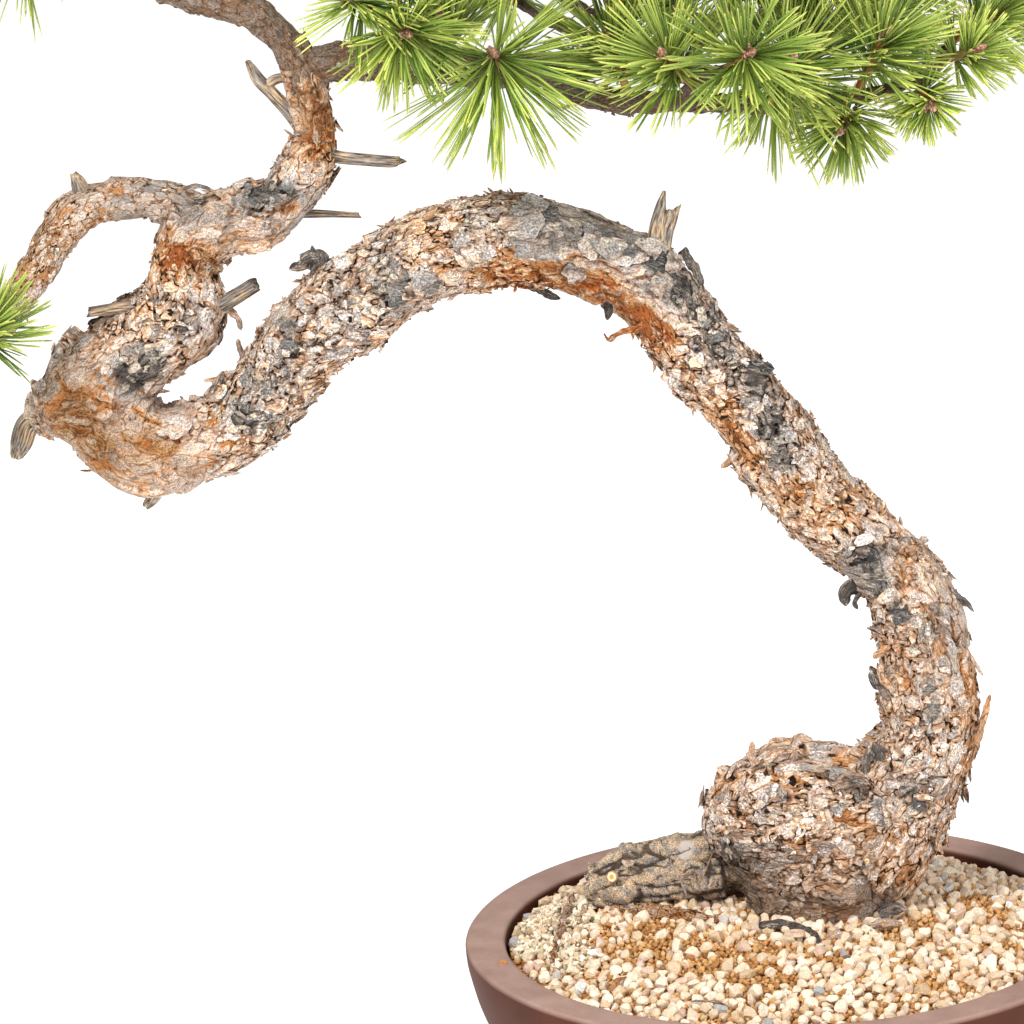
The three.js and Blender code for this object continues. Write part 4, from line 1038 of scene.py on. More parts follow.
def burl_tube():
    """The globe as rings, so that it closes as a tube does. The reaches are joined by a soft
    maximum, the logarithm of a sum of exponentials. Its plates lie level, not upright."""
    tip = np.linspace(0.03, np.pi - 0.03, BURL_RINGS)[:, None]
    turn = turns(BURL_AROUND)[None, :]
    direction = together(np.sin(tip) * np.cos(turn), np.sin(tip) * np.sin(turn), -np.cos(tip))
    reaches = [ellipsoid_reach(direction, *swelling) for swelling in BURLS]
    reach = BURL_SOFT * np.log(sum(np.exp(each / BURL_SOFT) for each in reaches))
    base = BURL_HEART + direction * reach[..., None]
    weather = weather_at(base)
    grown = base * np.array([1.0, 1.0, 1.35])
    height, pick, rise, busy = bark_relief(grown, base, weather, BURL_COARSE, seed=5)
    skin = base + direction * (2.2 * smooth_noise(base, 13.0, 77) - 0.6)[..., None]
    height = height - BURL_SINK
    surface = skin + direction * height[..., None]
    brown = np.clip((BROWN_TOP - surface[..., 2]) / (BROWN_TOP - BROWN_BOTTOM), 0, 1)
    return {"skin": skin, "surface": surface, "height": height, "outward": direction,
            "weather": weather, "pick": pick, "rise": rise, "busy": busy,
            "shade": BURL_BROWN * brown, "grown": 0.6 * grown}


burl = burl_tube()
bark_piece("burl", [burl])

# %% [markdown]
# ## Loose flakes
# What makes this bark is the rim of each papery flake, lifted and catching the light. A flake
# is a sheet with a jagged border, laid out in millimetres along and round the limb, so that a
# large one bends with the trunk, and then one side lifts off. Its underside runs in to a single
# point in the bark. That costs two triangles a corner and leaves a rim as thin as paper.

# %% Flakes
def rod_faces(sides, rings, count):
    """The triangles of many equal rods. Each has its start, then its rings, then its end. A
    flake is one ring between two points."""
    spot = np.arange(sides)
    ahead = (spot + 1) % sides
    last = 1 + sides * rings
    faces = [np.stack([0 * spot, 1 + ahead, 1 + spot], 1)]
    for a in range(1, last - sides, sides):
        b = a + sides
        faces += [np.stack([a + spot, a + ahead, b + ahead], 1),
                  np.stack([a + spot, b + ahead, b + spot], 1)]
    faces.append(np.stack([last - sides + spot, last - sides + ahead, 0 * spot + last], 1))
    return copies(np.vstack(faces), count, last + 1)


def on_skin(tube, ring, spot, ahead, beside):
    """The skin and its outward way at some millimetres along and round the limb from a grid
    point. The four grid points round the place are blended by how near they are."""
    skin, outward = tube["skin"], tube["outward"]
    rings, around = skin.shape[:2]
    ring_step = np.maximum(lengths(skin[ring + 1, spot] - skin[ring - 1, spot]) / 2, 0.8)
    spot_step = lengths(skin[ring, (spot + 2) % around] - skin[ring, spot - 2]) / 4
    at_ring = np.clip(ring[:, None] + ahead / ring_step, 0, rings - 1.001)
    at_spot = spot[:, None] + beside / np.maximum(spot_step, 0.3)
    low_ring, low_spot = np.floor(at_ring).astype(int), np.floor(at_spot).astype(int)
    place, way = 0, 0
    for up, over in np.ndindex(2, 2):
        share = np.abs(1 - up - at_ring + low_ring) * np.abs(1 - over - at_spot + low_spot)
        corner = (low_ring + up, (low_spot + over) % around)
        place = place + share[..., None] * skin[corner]
        way = way + share[..., None] * outward[corner]
    return place, unit(way)


# Each kind of flake has its least and largest radius, its least and most lift in degrees, and
# its corners.
SHIELD = ((3.4, 7.0), (0, 20), 15)
PLATE = ((1.6, 4.2), (1, 32), 10)
SCALE = ((0.6, 1.5), (3, 44), 7)
TWIG_SCALE = ((0.6, 1.7), (0, 55), 6)
PLACED_CORNERS = 19
TRIES = 3
FLAKE_DEPTH = 1.2


def flakes_on(tube, count, kind, seed, spread=(0.0, 1.0), grey_only=False):
    """Flakes at chance places of a limb. Of three tries the one in the busiest bark is kept,
    and with grey_only set the most weathered counts too."""
    rng = np.random.default_rng(seed)
    radii, lifts, corners = kind
    rings, around = tube["skin"].shape[:2]
    tries = count * TRIES
    ring = (rng.uniform(*spread, tries) * (rings - 6)).astype(int) + 3
    spot = rng.integers(0, around, tries)
    likes = 0.7 * tube["busy"][ring, spot] + rng.random(tries)
    if grey_only:
        likes += tube["weather"][ring, spot]
    chosen = np.argsort(-likes, kind="stable")[:count]
    ring, spot = ring[chosen], spot[chosen]
    size = radii[0] * (radii[1] / radii[0]) ** rng.power(1.1, count)
    heading = 0.7 * rng.standard_normal(count) + np.pi * rng.integers(0, 2, count)
    lift = lifts[0] + (lifts[1] - lifts[0]) * rng.random(count) ** 4
    weather = tube["weather"][ring, spot] + rng.normal(0, 0.2, count)
    slim = rng.uniform(0.4, 0.9, count)
    return flakes_at(tube, ring, spot, rng, corners, size, slim, heading, lift, weather)


def flakes_at(tube, ring, spot, rng, corners, *facts):
    """Flakes at given places. Height grows with the power 1.7 of the way from the hinge, and
    the sides curl with the square of the way from the middle line. The facts are the radius
    along the heading, the share of it across, the heading, the lift of the free end and the
    weather."""
    count = len(ring)
    size, slim, heading, lift = (fact[:, None] for fact in facts[:4])
    turn = (np.arange(corners) + rng.uniform(-0.3, 0.3, (count, corners))) / corners * 2 * np.pi
    jag = rng.uniform(0.68, 1.08, (count, corners))
    middle = np.zeros((count, 1))
    across = np.hstack([middle, jag * np.cos(turn), middle - 0.3])
    wide = np.hstack([middle, jag * np.sin(turn), middle])
    cos, sin = np.cos(heading), np.sin(heading)
    ahead = size * (across * cos - slim * wide * sin)
    beside = size * (across * sin + slim * wide * cos)
    place, way = on_skin(tube, ring, spot, ahead, beside)
    curl = rng.uniform(-0.06, 0.2, (count, 1)) * wide ** 2
    hinge = np.maximum((across + 1) / 2, 0)
    height = size * (2 * np.tan(np.radians(lift)) * hinge ** 1.7 + curl)
    height += 0.12 * rng.standard_normal(across.shape)
    height += tube["height"][ring, spot][:, None] + rng.uniform(0.15, 0.7, (count, 1))
    height[:, -1] = tube["height"][ring, spot] - FLAKE_DEPTH
    points = place + way * height[..., None]
    faces = rod_faces(corners, 1, count)[:, ::-1]
    number = corners + 2
    shift = rng.uniform(0, 400, (count, 1, 3))
    busy = tube["busy"][ring, spot] * (0.3 if corners == PLACED_CORNERS else 1)
    return {"points": points.reshape(-1, 3), "faces": faces,
            "grown": 0.65 * (points + shift).reshape(-1, 3),
            # Rise is 0 at the underside's point: the underside takes the inner bark's colour near the rim
            # and painted shade towards the point, under each flake.
            "rise": np.tile([1.0] * (corners + 1) + [0.0], count),
            "pick": np.repeat(rng.random(count), number),
            "weather": np.repeat(np.clip(facts[4], -1, 2), number),
            "shade": np.repeat(tube["shade"][ring, spot], number), "busy": np.repeat(busy, number)}


def join_parts(parts):
    """Loose parts with their own points and faces as one set."""
    starts = np.cumsum([0] + [len(part["points"]) for part in parts[:-1]])
    joined = {key: np.concatenate([part[key] for part in parts]) for key in parts[0] if key != "faces"}
    joined["faces"] = np.vstack([part["faces"] + start for part, start in zip(parts, starts)])
    return joined


def loose_piece(name, parts, material, slot, *nodes, flat=False):
    """One piece from many loose bodies, with hard edges where flat is set."""
    joined = join_parts(parts)
    points, faces = joined.pop("points"), joined.pop("faces")
    smooth_faces, flat_faces = ([], [faces]) if flat else ([faces], [])
    piece = make_piece(name, points, smooth_faces, material, flat_faces, **joined)
    dress(piece, slot, *nodes)


lower, upper = trunk_tubes
# For each limb the number of shields, of plates and of scales, and the part of it they lie on.
FLAKED = [
    (lower, 280, 1700, 2200, (0.05, 1.0)), (upper, 67, 408, 528, (0.0, 1.0)),
    (burl, 252, 187, 242, (0.12, 0.84)), (root_tube, 0, 17, 22, (0.1, 1.0)),
]
SCALES_PER_RING = 1.2
shields, scales = [], []
for i, (tube, shield_count, plate_count, scale_count, spread) in enumerate(FLAKED):
    shields.append(flakes_on(tube, shield_count, SHIELD, 100 + i, spread, grey_only=True))
    shields.append(flakes_on(tube, plate_count, PLATE, 110 + i, spread))
    scales.append(flakes_on(tube, scale_count, SCALE, 120 + i, spread))
for i, tube in enumerate(branch_tubes):
    count = int(len(tube["surface"]) * SCALES_PER_RING)
    scales.append(flakes_on(tube, count, TWIG_SCALE, 130 + i))
# Large plates, given one by one: x, y, z, radius, share across, heading in degrees (0 is
# along the limb, 90 a quarter turn round it), lift and weather.
PLACED = [
    (lower, [
        (-94, -43, 402, 7.5, 1.9, -90, 14, 0.9), (-97, -34, 415, 4, 1.8, 90, 20, 1.0),
        (-69, -26, 408, 4.5, 2.0, -90, 10, 0.6), (-63, -41, 396, 6, 1.8, -90, 12, 0.8),
        (-121, -39, 401, 10, 1, 0, 7, 0.9), (-121, -39, 401, 6, 1, 180, 14, 0.6),
        (-153, -32, 382, 7, 0.9, -60, 8, 1.2), (-141, -35, 387, 6, 0.8, 30, 14, 1.2),
        (-138, -21, 411, 7, 0.6, 180, 4, -0.35), (-80, -40, 390, 5, 1.2, -80, 22, 0.7),
        (-48, -37, 396, 5.5, 0.9, -90, 8, 0.85), (-40, -38, 389, 5.5, 0.8, -60, 12, 1.0),
        (-57, -42, 389, 5.5, 0.7, 180, 8, 0.5), (-46, -43, 382, 4, 1, -90, 12, 0.9),
        (-217, -2, 343, 6, 0.7, 0, 8, 1.2), (-201, -13, 364, 7, 0.8, 180, 8, 1.1),
        (-240, 7, 314, 9, 0.5, 0, 3, 0.0), (-249, 10, 320, 9, 0.5, 180, 4, 0.2),
        (41, -15, 248, 6, 0.8, 180, 10, 1.3), (51, -14, 230, 5.5, 0.8, 200, 10, 1.2),
        (66, -8, 231, 3, 0.9, 0, 6, 1.0), (75, -1, 225, 5, 0.7, 180, 8, 0.75),
        (75, -7, 195, 7, 0.6, 0, 6, 0.35), (63, -11, 197, 4, 0.8, 150, 10, 1.15),
        (65, -11, 186, 4.5, 0.8, 180, 10, 1.3), (44, -16, 141, 5.5, 0.8, 160, 8, 0.65),
        (57, -15, 146, 4, 0.8, 90, 10, 1.4), (56, -11, 159, 6.5, 0.5, 30, 6, 0.15),
        (47, -11, 155, 4.5, 0.9, 180, 8, 0.3)]),
    (upper, [(-268, 14, 351, 4.5, 1, 0, 20, 1.0), (-259, 12, 352, 3.5, 1, 90, 20, 1.3)]),
    (burl, [
        (-4, -22, 155, 5.2, 1, 180, 8, 1.1), (-4, -22, 155, 3.2, 1, 0, 14, 0.8),
        (13, -16, 163, 4, 1.8, 180, 24, 0.35), (13, -23, 152, 5.5, 0.8, 160, 10, 0.55),
        (35, -15, 151, 4.5, 1, 200, 12, 0.5), (34, -19, 146, 4, 0.5, 90, 12, -0.1),
        (15, -25, 142, 6.5, 0.9, 180, 6, 0.2), (17, -6, 166, 5, 1.2, 0, 16, 0.2),
        (-9, -6, 165, 5, 0.9, 0, 12, 0.2), (-15, -18, 120, 6, 0.8, 180, 6, 0.7),
        (0, -25, 142, 6, 0.9, 180, 6, 0.25), (24, -27, 132, 6, 0.7, 150, 8, 0.3),
        (-10, -20, 140, 5, 0.8, 200, 8, 0.15), (5, -27, 128, 5.5, 0.8, 180, 6, 0.2)]),
]
rng = np.random.default_rng(140)
for tube, listed in PLACED:
    x, y, z, size, slim, heading, lift, weather = np.array(listed).T
    skin = tube["skin"].reshape(-1, 3)
    nearest = ((skin[None] - np.stack([x, y, z], 1)[:, None]) ** 2).sum(-1).argmin(1)
    ring, spot = np.divmod(nearest, tube["skin"].shape[1])
    shields.append(flakes_at(tube, ring, spot, rng, PLACED_CORNERS, size, slim, np.radians(heading),
                             lift, weather))
loose_piece("bark_shields", shields, BARK, "bark", "trunk_and_branches", flat=True)
loose_piece("bark_scales", scales, BARK, "bark", "trunk_and_branches", flat=True)

# %% [markdown]
# ## Peeling strips
# Here and there a strip of bark has come loose and hangs, curls up or stands off the limb.
# These are given one by one. A strip is a flattened tube: wide one way, thin as card the other,
# ragged along both edges and drawn to a point at its free end.

# %% Strips
# Each strip has its line, half its width, its weather, and how far it is turned out of the
# plane of the picture.
STRIPS = [
    ([(-116, -22, 413), (-115, -22, 417), (-112, -22, 419), (-114, -22, 422)], 0.8, 0.8, 0),
    ([(-102, -20, 413), (-103, -20, 417), (-105, -20, 421)], 0.6, 1.0, 0),
    ([(-104, -20, 413), (-101, -20, 417), (-99, -20, 419)], 1.0, 1.2, 0),
    ([(-107, -30, 412), (-101, -31, 417), (-95, -32, 415), (-90, -34, 409)], 3.2, 0.9, 70),
    ([(-48, -33, 366), (-56, -34, 362), (-63, -33, 360), (-67, -31, 357), (-69, -30, 360)], 1.7, -1.2, 30),
    ([(-104, -18, 383), (-94, -14, 376), (-86, -14, 372)], 2.2, 1.9, 10),
    ([(-72, -17, 378), (-66, -14, 367), (-67, -14, 362)], 2.4, 1.4, 15),
    ([(-183, -8, 389), (-188, -8, 393), (-193, -8, 390), (-198, -8, 389)], 3.2, 1.4, 20),
    ([(-188, -5, 382), (-188, -6, 392), (-188, -6, 398)], 2.2, 1.3, 30),
    ([(-186, -10, 387), (-183, -10, 393), (-186, -10, 397)], 2.6, 1.4, -20),
    ([(-218, 8, 344), (-221, 8, 351), (-222, 8, 357)], 1.4, 0.6, 10),
    ([(-236, 12, 329), (-232, 10, 338), (-229, 10, 343)], 2.2, 1.0, 20),
    ([(-229, 20, 371), (-222, 20, 363), (-221, 20, 358)], 1.8, 0.7, 10),
    ([(-243, 4, 422), (-234, 3, 424), (-223, 5, 418)], 1.6, 0.9, 60),
    ([(-220, 5, 397), (-209, 2, 398), (-197, 3, 403)], 3.0, 0.5, 35),
    ([(-8, -12, 303), (-16, -12, 300), (-22, -12, 296)], 2.8, 0.2, 20),
    ([(0, -12, 289), (-9, -12, 293), (-15, -12, 291)], 2.6, 0.1, -15),
    ([(-3, -12, 291), (-4, -12, 283), (-6, -12, 276)], 0.6, 0.3, 0),
    ([(1, -10, 284), (3, -10, 277), (1, -10, 270)], 0.9, -0.6, 0),
    ([(42, -4, 237), (35, -4, 239), (30, -4, 237), (29, -4, 231)], 4.0, 1.7, 15),
    ([(36, -6, 237), (33, -6, 233), (34, -6, 230)], 1.8, 1.6, 40),
    ([(47, 0, 188), (42, 0, 195), (39, 0, 203)], 3.0, 1.3, 25),
    ([(49, -2, 192), (44, -2, 199), (44, -2, 205)], 2.2, 0.3, -20),
    ([(49, -2, 213), (44, -2, 209), (40, -2, 207)], 2.2, 0.2, 10),
    ([(48, -2, 213), (43, -2, 217), (40, -2, 220)], 1.3, -0.4, 10),
    ([(77, 3, 152), (83, 2, 166), (87, 2, 177), (90, 2, 187)], 2.0, -0.3, 15),
    ([(78, 2, 211), (83, 0, 203), (87, 0, 196)], 1.1, 0.8, 10),
    ([(33, -6, 154), (36, -6, 163), (37, -6, 170)], 2.0, 1.3, 20),
    ([(43, -4, 152), (43, -4, 162), (39, -4, 170)], 2.6, 1.4, -15),
    ([(47, -2, 153), (45, -2, 161), (47, -2, 167)], 2.2, 1.2, 35),
    ([(19, -18, 156), (28, -21, 159), (35, -21, 157)], 3.6, 1.1, 10),
    ([(-12, -12, 165), (-14, -11, 170), (-13, -10, 175)], 1.9, 0.1, 15),
    ([(2, -7, 164), (7, -6, 174), (13, -6, 173)], 2.3, 0.9, 30),
    ([(-9, -16, 169), (-2, -15, 172), (5, -14, 171)], 2.4, 0.5, 60),
    ([(-283, 30, 301), (-289, 30, 298), (-294, 30, 298)], 0.6, -1.2, 0),
    ([(-35, -18, 391), (-29, -18, 381), (-27, -18, 370)], 2.2, 1.4, 20),
    ([(-26, -18, 363), (-18, -18, 359), (-12, -18, 355)], 1.2, 1.6, 0),
    ([(8, -8, 320), (16, -8, 311), (22, -8, 301)], 1.5, 1.3, 20),
    ([(52, 0, 250), (62, 0, 245), (72, 0, 236)], 1.8, 0.9, 15),
    ([(72, 2, 235), (79, 2, 230), (84, 2, 224)], 1.4, 1.3, 10),
    ([(-39, 6, 112), (-45, -2, 112), (-43, -3, 104)], 0.7, 0.6, 0),
    ([(-39, 6, 112), (-39, -3, 110), (-36, -2, 113), (-31, 1, 123)], 0.7, 0.6, 0),
]
STRIP_AROUND = 10
STRIP_STEP = 0.8
STRIP_THICK = 0.3
STRIP_GUTTER = 0.35


def strip(line, half_width, weather, turn, seed):
    """Point = centre + wide * half * cos + thin * thickness * sin. The edges bend out of the
    plane with the square of the cosine. Each edge has its own noise, and the half width falls
    as the square root of 1 - t^4 towards the free end."""
    track, travelled = smooth_line([(*point, 0) for point in line], STRIP_STEP)
    centres = track[:, :3]
    along, side, up = ring_axes(centres)
    angle = math.radians(turn)
    wide = (up * math.cos(angle) + side * math.sin(angle))[:, None]
    thin = np.cross(along, wide[:, 0])[:, None]
    part = np.linspace(0, 1, len(centres))[:, None]
    cos, sin = np.cos(turns(STRIP_AROUND))[None], np.sin(turns(STRIP_AROUND))[None]
    edge = together(travelled[:, None] + 70.0 * seed, np.sign(cos) * 9, 0 * cos)
    half = half_width * (1 + 0.55 * rough_noise(edge, 2.6, seed, 2))
    half = half * np.sqrt(np.maximum(1.01 - part ** 4, 0))
    thickness = STRIP_THICK * sin * np.ones_like(part)
    surface = (centres[:, None] + wide * (half * cos)[..., None]
               + thin * (thickness + STRIP_GUTTER * half * cos ** 2)[..., None])
    still = np.zeros(surface.shape[:2])
    tone = np.clip(weather + 0.4 * rough_noise(surface, 5.0, seed + 3, 2), -1, 2)
    return {"surface": surface, "weather": tone, "pick": still + 0.5, "shade": still,
            "grown": together(travelled[:, None] + 300.0 * seed, half * cos, sin),
            "rise": np.where(sin > 0.1, 1.0, 0.5) + still, "busy": still + 0.2}


bark_piece("peeling_strips", [strip(*facts, seed=i + 1) for i, facts in enumerate(STRIPS)])

# %% [markdown]
# ## Needles
# A Scots pine bears its needles in pairs. Each pair is a rod split down its length, so a
# needle is flat inside and round outside, twists a little and ends in a yellowish point. The
# solids already hold the direction of every bundle: a needle there is three long faces with
# one common tip. Those tips and roots are read back, and each becomes two pairs of fine ones.

# %% Directions of the needles
LONG_EDGE = 12.0
SHORT_EDGE = 6.0
CUT_END = 0.8  # what lies this near to a stem's lowest point belongs to its cut end


def read_spray(name):
    """Roots and tips of a spray's needles, and its stem from the cut end to the bud's tip."""
    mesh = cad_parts[name].data
    corner = np.empty(len(mesh.loops), np.int32)
    mesh.loops.foreach_get("vertex_index", corner)
    place = np.empty(len(mesh.vertices) * 3, np.float32)
    mesh.vertices.foreach_get("co", place)
    faces = place.reshape(-1, 3)[corner].reshape(-1, 3, 3) / MM
    edges = lengths(np.roll(faces, -1, 1) - np.roll(faces, -2, 1))[..., 0]
    in_needle = (edges.min(1) < SHORT_EDGE) & (np.median(edges, 1) > LONG_EDGE)
    blades, tip_corner = faces[in_needle], edges[in_needle].argmin(1)
    count = np.arange(len(blades))
    tips = blades[count, tip_corner]
    feet = (blades.sum(1) - tips) / 2
    key, owner = np.unique(np.round(tips, 2), axis=0, return_inverse=True)
    owner = owner.ravel()
    roots = np.stack([np.bincount(owner, feet[:, axis]) for axis in range(3)], 1)
    roots /= np.bincount(owner)[:, None]
    rest = faces[~in_needle].reshape(-1, 3)
    way = unit((key - roots).sum(0))
    bud = rest[(rest @ way).argmax()]
    way = unit(bud - roots.mean(0))
    height = rest @ way
    start = rest[height < height.min() + CUT_END].mean(0)
    return {"roots": roots, "tips": key, "start": start, "bud": bud}


spray_names = sorted(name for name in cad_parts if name.startswith("needle_spray"))
sprays = [read_spray(name) for name in spray_names]
print("bundles read:", sum(len(spray["roots"]) for spray in sprays))

# %% Needle shape
NEEDLE_HALF_WIDTH = 0.59
NEEDLE_STATIONS = ((0.04, 0.62), (0.5, 1.0), (0.93, 0.8))
BUNDLES_EACH = 2
STRAY = 0.13  # how far the second bundle strays from the first one's direction
SECOND_REACH = (0.82, 1.02)
SECOND_SHIFT = 1.8
SINK_IN = 0.35  # the roots move this share of the way to the stem's axis
PAIR_SPREAD = 0.055
BOW = 0.05
TWIST = 0.5
# How far the needles of some sprays lean along x, y and z, and how long they are.
LEANS = {
    0: (0.32, 0.0, -0.5, 1.22), 1: (0.45, 0.0, 0.2, 0.85), 4: (-0.25, 0.0, -0.3, 1.1),
    7: (-0.3, 0.0, 0.1, 0.75), 9: (-0.1, 0.0, 0.1, 0.75), 48: (0.15, 0.0, 0.5, 1.0),
}


def needles_of(spray, seed, lean):
    """The first bundle keeps the direction read from the solid, the next strays from it. The
    two needles of a bundle part sideways, and each bows as the square of the way along it."""
    rng = np.random.default_rng(seed)
    stem = unit(spray["bud"] - spray["start"])
    roots = np.repeat(spray["roots"], BUNDLES_EACH, 0)
    ways = np.repeat(spray["tips"] - spray["roots"], BUNDLES_EACH, 0)
    reach = lengths(ways)
    count = len(roots)
    first = (np.arange(count) % BUNDLES_EACH == 0)[:, None]
    stray = np.where(first, 0.0, STRAY) * rng.standard_normal((count, 3))
    share = np.where(first, 1.0, rng.uniform(*SECOND_REACH, (count, 1)))
    ways = unit(unit(ways) + stray) * reach * share
    ways = unit(unit(ways) + np.array(lean[:3])) * lengths(ways) * lean[3]
    shift = rng.uniform(-SECOND_SHIFT, SECOND_SHIFT, (count, 1))
    roots = roots + stem * np.where(first, 0.0, shift)
    axis_point = spray["start"] + stem * ((roots - spray["start"]) @ stem)[:, None]
    roots = roots + (axis_point - roots) * SINK_IN
    beside = unit(np.cross(ways, rng.standard_normal((count, 3))))
    tone = rng.random(count)
    roots, tone = np.repeat(roots, 2, 0), np.repeat(tone, 2)
    sign = np.tile([1.0, -1.0], count)[:, None]
    beside = np.repeat(beside, 2, 0) * sign
    ways = np.repeat(ways, 2, 0)
    reach = lengths(ways)
    ways = ways + beside * reach * PAIR_SPREAD * rng.uniform(0.6, 1.6, (2 * count, 1))
    ways = unit(ways) * reach
    outer = unit(np.cross(ways, beside))
    bow = reach * rng.uniform(-BOW, BOW, (2 * count, 1))
    points = [roots]
    along_values = [np.zeros(2 * count)]
    for part, wide in NEEDLE_STATIONS:
        middle = roots + ways * part + outer * bow * 4 * part * (1 - part)
        twist = TWIST * part
        half = NEEDLE_HALF_WIDTH * wide
        flat_way = outer * np.cos(twist) + beside * np.sin(twist)
        round_way = beside * np.cos(twist) - outer * np.sin(twist)
        points += [middle + flat_way * half, middle + round_way * half * 0.75,
                   middle - flat_way * half, middle - round_way * half * 0.3]
        along_values += [np.full(2 * count, part)] * 4
    points.append(roots + ways)
    along_values.append(np.ones(2 * count))
    return {"points": np.stack(points, 1).reshape(-1, 3),
            "faces": rod_faces(4, len(NEEDLE_STATIONS), 2 * count),
            "tone": np.repeat(tone, len(points)), "reach": np.stack(along_values, 1).ravel()}


def needle_material():
    """Pale at the sheath, full green along the middle and yellow at the point. Each bundle has
    its own tone, from blue-green to yellow-green."""
    material, tree = new_material("pine needle", 0.42, 0.5)
    tone = attribute(tree, "tone")
    reach = attribute(tree, "reach")
    young = ramp(tree, reach, (0.0, 170, 136, 72), (0.08, 160, 178, 80),
                 (0.5, 190, 206, 100), (0.88, 202, 212, 108), (0.96, 208, 206, 104))
    old = ramp(tree, reach, (0.0, 104, 92, 48), (0.08, 84, 108, 42),
               (0.6, 112, 138, 54), (0.9, 134, 154, 62), (0.97, 164, 154, 74))
    colour = mix(tree, fit(tree, tone, 0.2, 0.95), old, young)
    return finish_grained(material, colour, scale=700.0, mottle=0.12, depth=0.1, strength=0.3)


NEEDLE = needle_material()
SPRAYS_PER_PIECE = 17
for start in range(0, len(sprays), SPRAYS_PER_PIECE):
    chosen = range(start, min(start + SPRAYS_PER_PIECE, len(sprays)))
    parts = [needles_of(sprays[i], 300 + i, LEANS.get(i, (0, 0, 0, 1))) for i in chosen]
    loose_piece(f"needles_{start // SPRAYS_PER_PIECE + 1}", parts, NEEDLE, "needles",
                *[spray_names[i] for i in chosen])

# %% [markdown]
# ## Shoots and buds
# This year's shoot is rusty orange under its needles. At its end stands a reddish brown bud,
# wrapped in scales with a bloom of white resin, with smaller ones at its foot. A bud is a
# spindle: its radius swells and shrinks along its length, and every second point stands a
# little further out, which makes the overlapping scales. A shoot starts in the middle of the
# nearest wood.

# %% Shoots and buds
def spindles(starts, ways, radius, profile, sides, bump, **values):
    """Closed rods round straight lines. The profile lists the way along and the share of the
    radius; the first and the last are points."""
    inner = np.array(profile[1:-1])
    side = unit(np.cross(ways, np.array([0.31, 0.17, 0.94])))
    up = np.cross(unit(ways), side)
    points = [starts + ways * profile[0][0]]
    for ring, (part, share) in enumerate(inner):
        for j, angle in enumerate(turns(sides)):
            wide = radius * share * (1 + bump * (-1) ** (ring + j))
            points.append(starts + ways * part + (side * np.cos(angle) + up * np.sin(angle)) * wide)
    points.append(starts + ways * profile[-1][0])
    part = [profile[0][0], *np.repeat(inner[:, 0], sides), profile[-1][0]]
    return {"points": np.stack(points, 1).reshape(-1, 3),
            "faces": rod_faces(sides, len(inner), len(starts)), "reach": np.tile(part, len(starts)),
            **{key: np.repeat(value, len(points)) for key, value in values.items()}}


BUD_PROFILE = [(0, 0), (0.02, 0.55), (0.14, 0.86), (0.3, 1.0), (0.46, 0.98), (0.62, 0.82),
               (0.77, 0.6), (0.9, 0.34), (1, 0)]
STEM_PROFILE = [(-0.12, 0), (-0.1, 1.0), (0.1, 1.05), (0.25, 0.95), (0.4, 1.05), (0.55, 0.92),
                (0.7, 1.0), (0.85, 0.9), (0.97, 0.7), (1, 0)]
STEM_RADIUS = 1.9
STEM_SHARE = 0.84  # of the way to the bud's tip
STEM_LIFT = 0.107  # with this lift the point at -0.12 lies in the wood's middle
BUD_SIZE = 8.5
BUD_RADIUS = 2.1
SIDE_BUDS = 3
SIDE_RADIUS = 1.25
SIDE_SHARE = 0.62

stem_starts = np.array([spray["start"] for spray in sprays])
bud_tips = np.array([spray["bud"] for spray in sprays])
stem_ways = bud_tips - stem_starts
spray_count = np.arange(len(sprays))
stem_ends = stem_starts + stem_ways * STEM_SHARE
wood_tubes = trunk_tubes + branch_tubes + twig_tubes
wood_middles = np.vstack([tube["centres"] for tube in wood_tubes])
wood_radius = np.concatenate([tube["radius"][:, 0] for tube in wood_tubes])
wood_gaps = lengths(stem_starts[:, None] - wood_middles)[..., 0] - wood_radius
stem_feet = wood_middles[wood_gaps.argmin(1)]
stem_feet += STEM_LIFT * (stem_ends - stem_feet)
stems = spindles(stem_feet, stem_ends - stem_feet, STEM_RADIUS, STEM_PROFILE, 8, 0.05,
                 tone=scramble(41, spray_count))
bud_ways = unit(stem_ways) * BUD_SIZE
buds = [spindles(bud_tips - bud_ways * 0.92, bud_ways, BUD_RADIUS, BUD_PROFILE, 9, 0.09,
                 tone=scramble(42, spray_count))]
for i in range(SIDE_BUDS):
    swing = unit(np.cross(stem_ways, np.array([0.3, 0.5, 0.8]) - 0.9 * np.eye(3)[i]))
    small = unit(bud_ways + swing * BUD_SIZE * 0.55) * BUD_SIZE * SIDE_SHARE
    roots = bud_tips - bud_ways * 0.95 + swing * 1.3
    buds.append(spindles(roots, small, SIDE_RADIUS, BUD_PROFILE, 7, 0.09,
                         tone=scramble(43 + i, spray_count)))


def shoot_material():
    """Rust and olive, with darker leaf scars from the noise."""
    material, tree = new_material("young shoot", 0.6, 0.4)
    colour = ramp(tree, attribute(tree, "tone"), (0.0, 150, 92, 48), (0.5, 168, 104, 56),
                  (1.0, 132, 116, 62))
    return finish_grained(material, colour, scale=900.0, mottle=0.35, depth=0.4, strength=0.6)


def bud_material():
    """Reddish brown, paler towards the point, with white resin in patches."""
    material, tree = new_material("resinous bud", 0.45, 0.5)
    patches = noise(tree, object_place(tree), 1100.0, 3.0)
    resin = times(tree, fit(tree, patches, 0.48, 0.62), 0.75)
    brown = ramp(tree, attribute(tree, "reach"), (0.0, 110, 66, 44), (0.5, 150, 84, 58),
                 (1.0, 176, 110, 78))
    colour = mix(tree, resin, brown, paint(226, 208, 196))
    return finish_grained(material, colour, scale=1800.0, mottle=0.2, depth=0.3, strength=0.5)


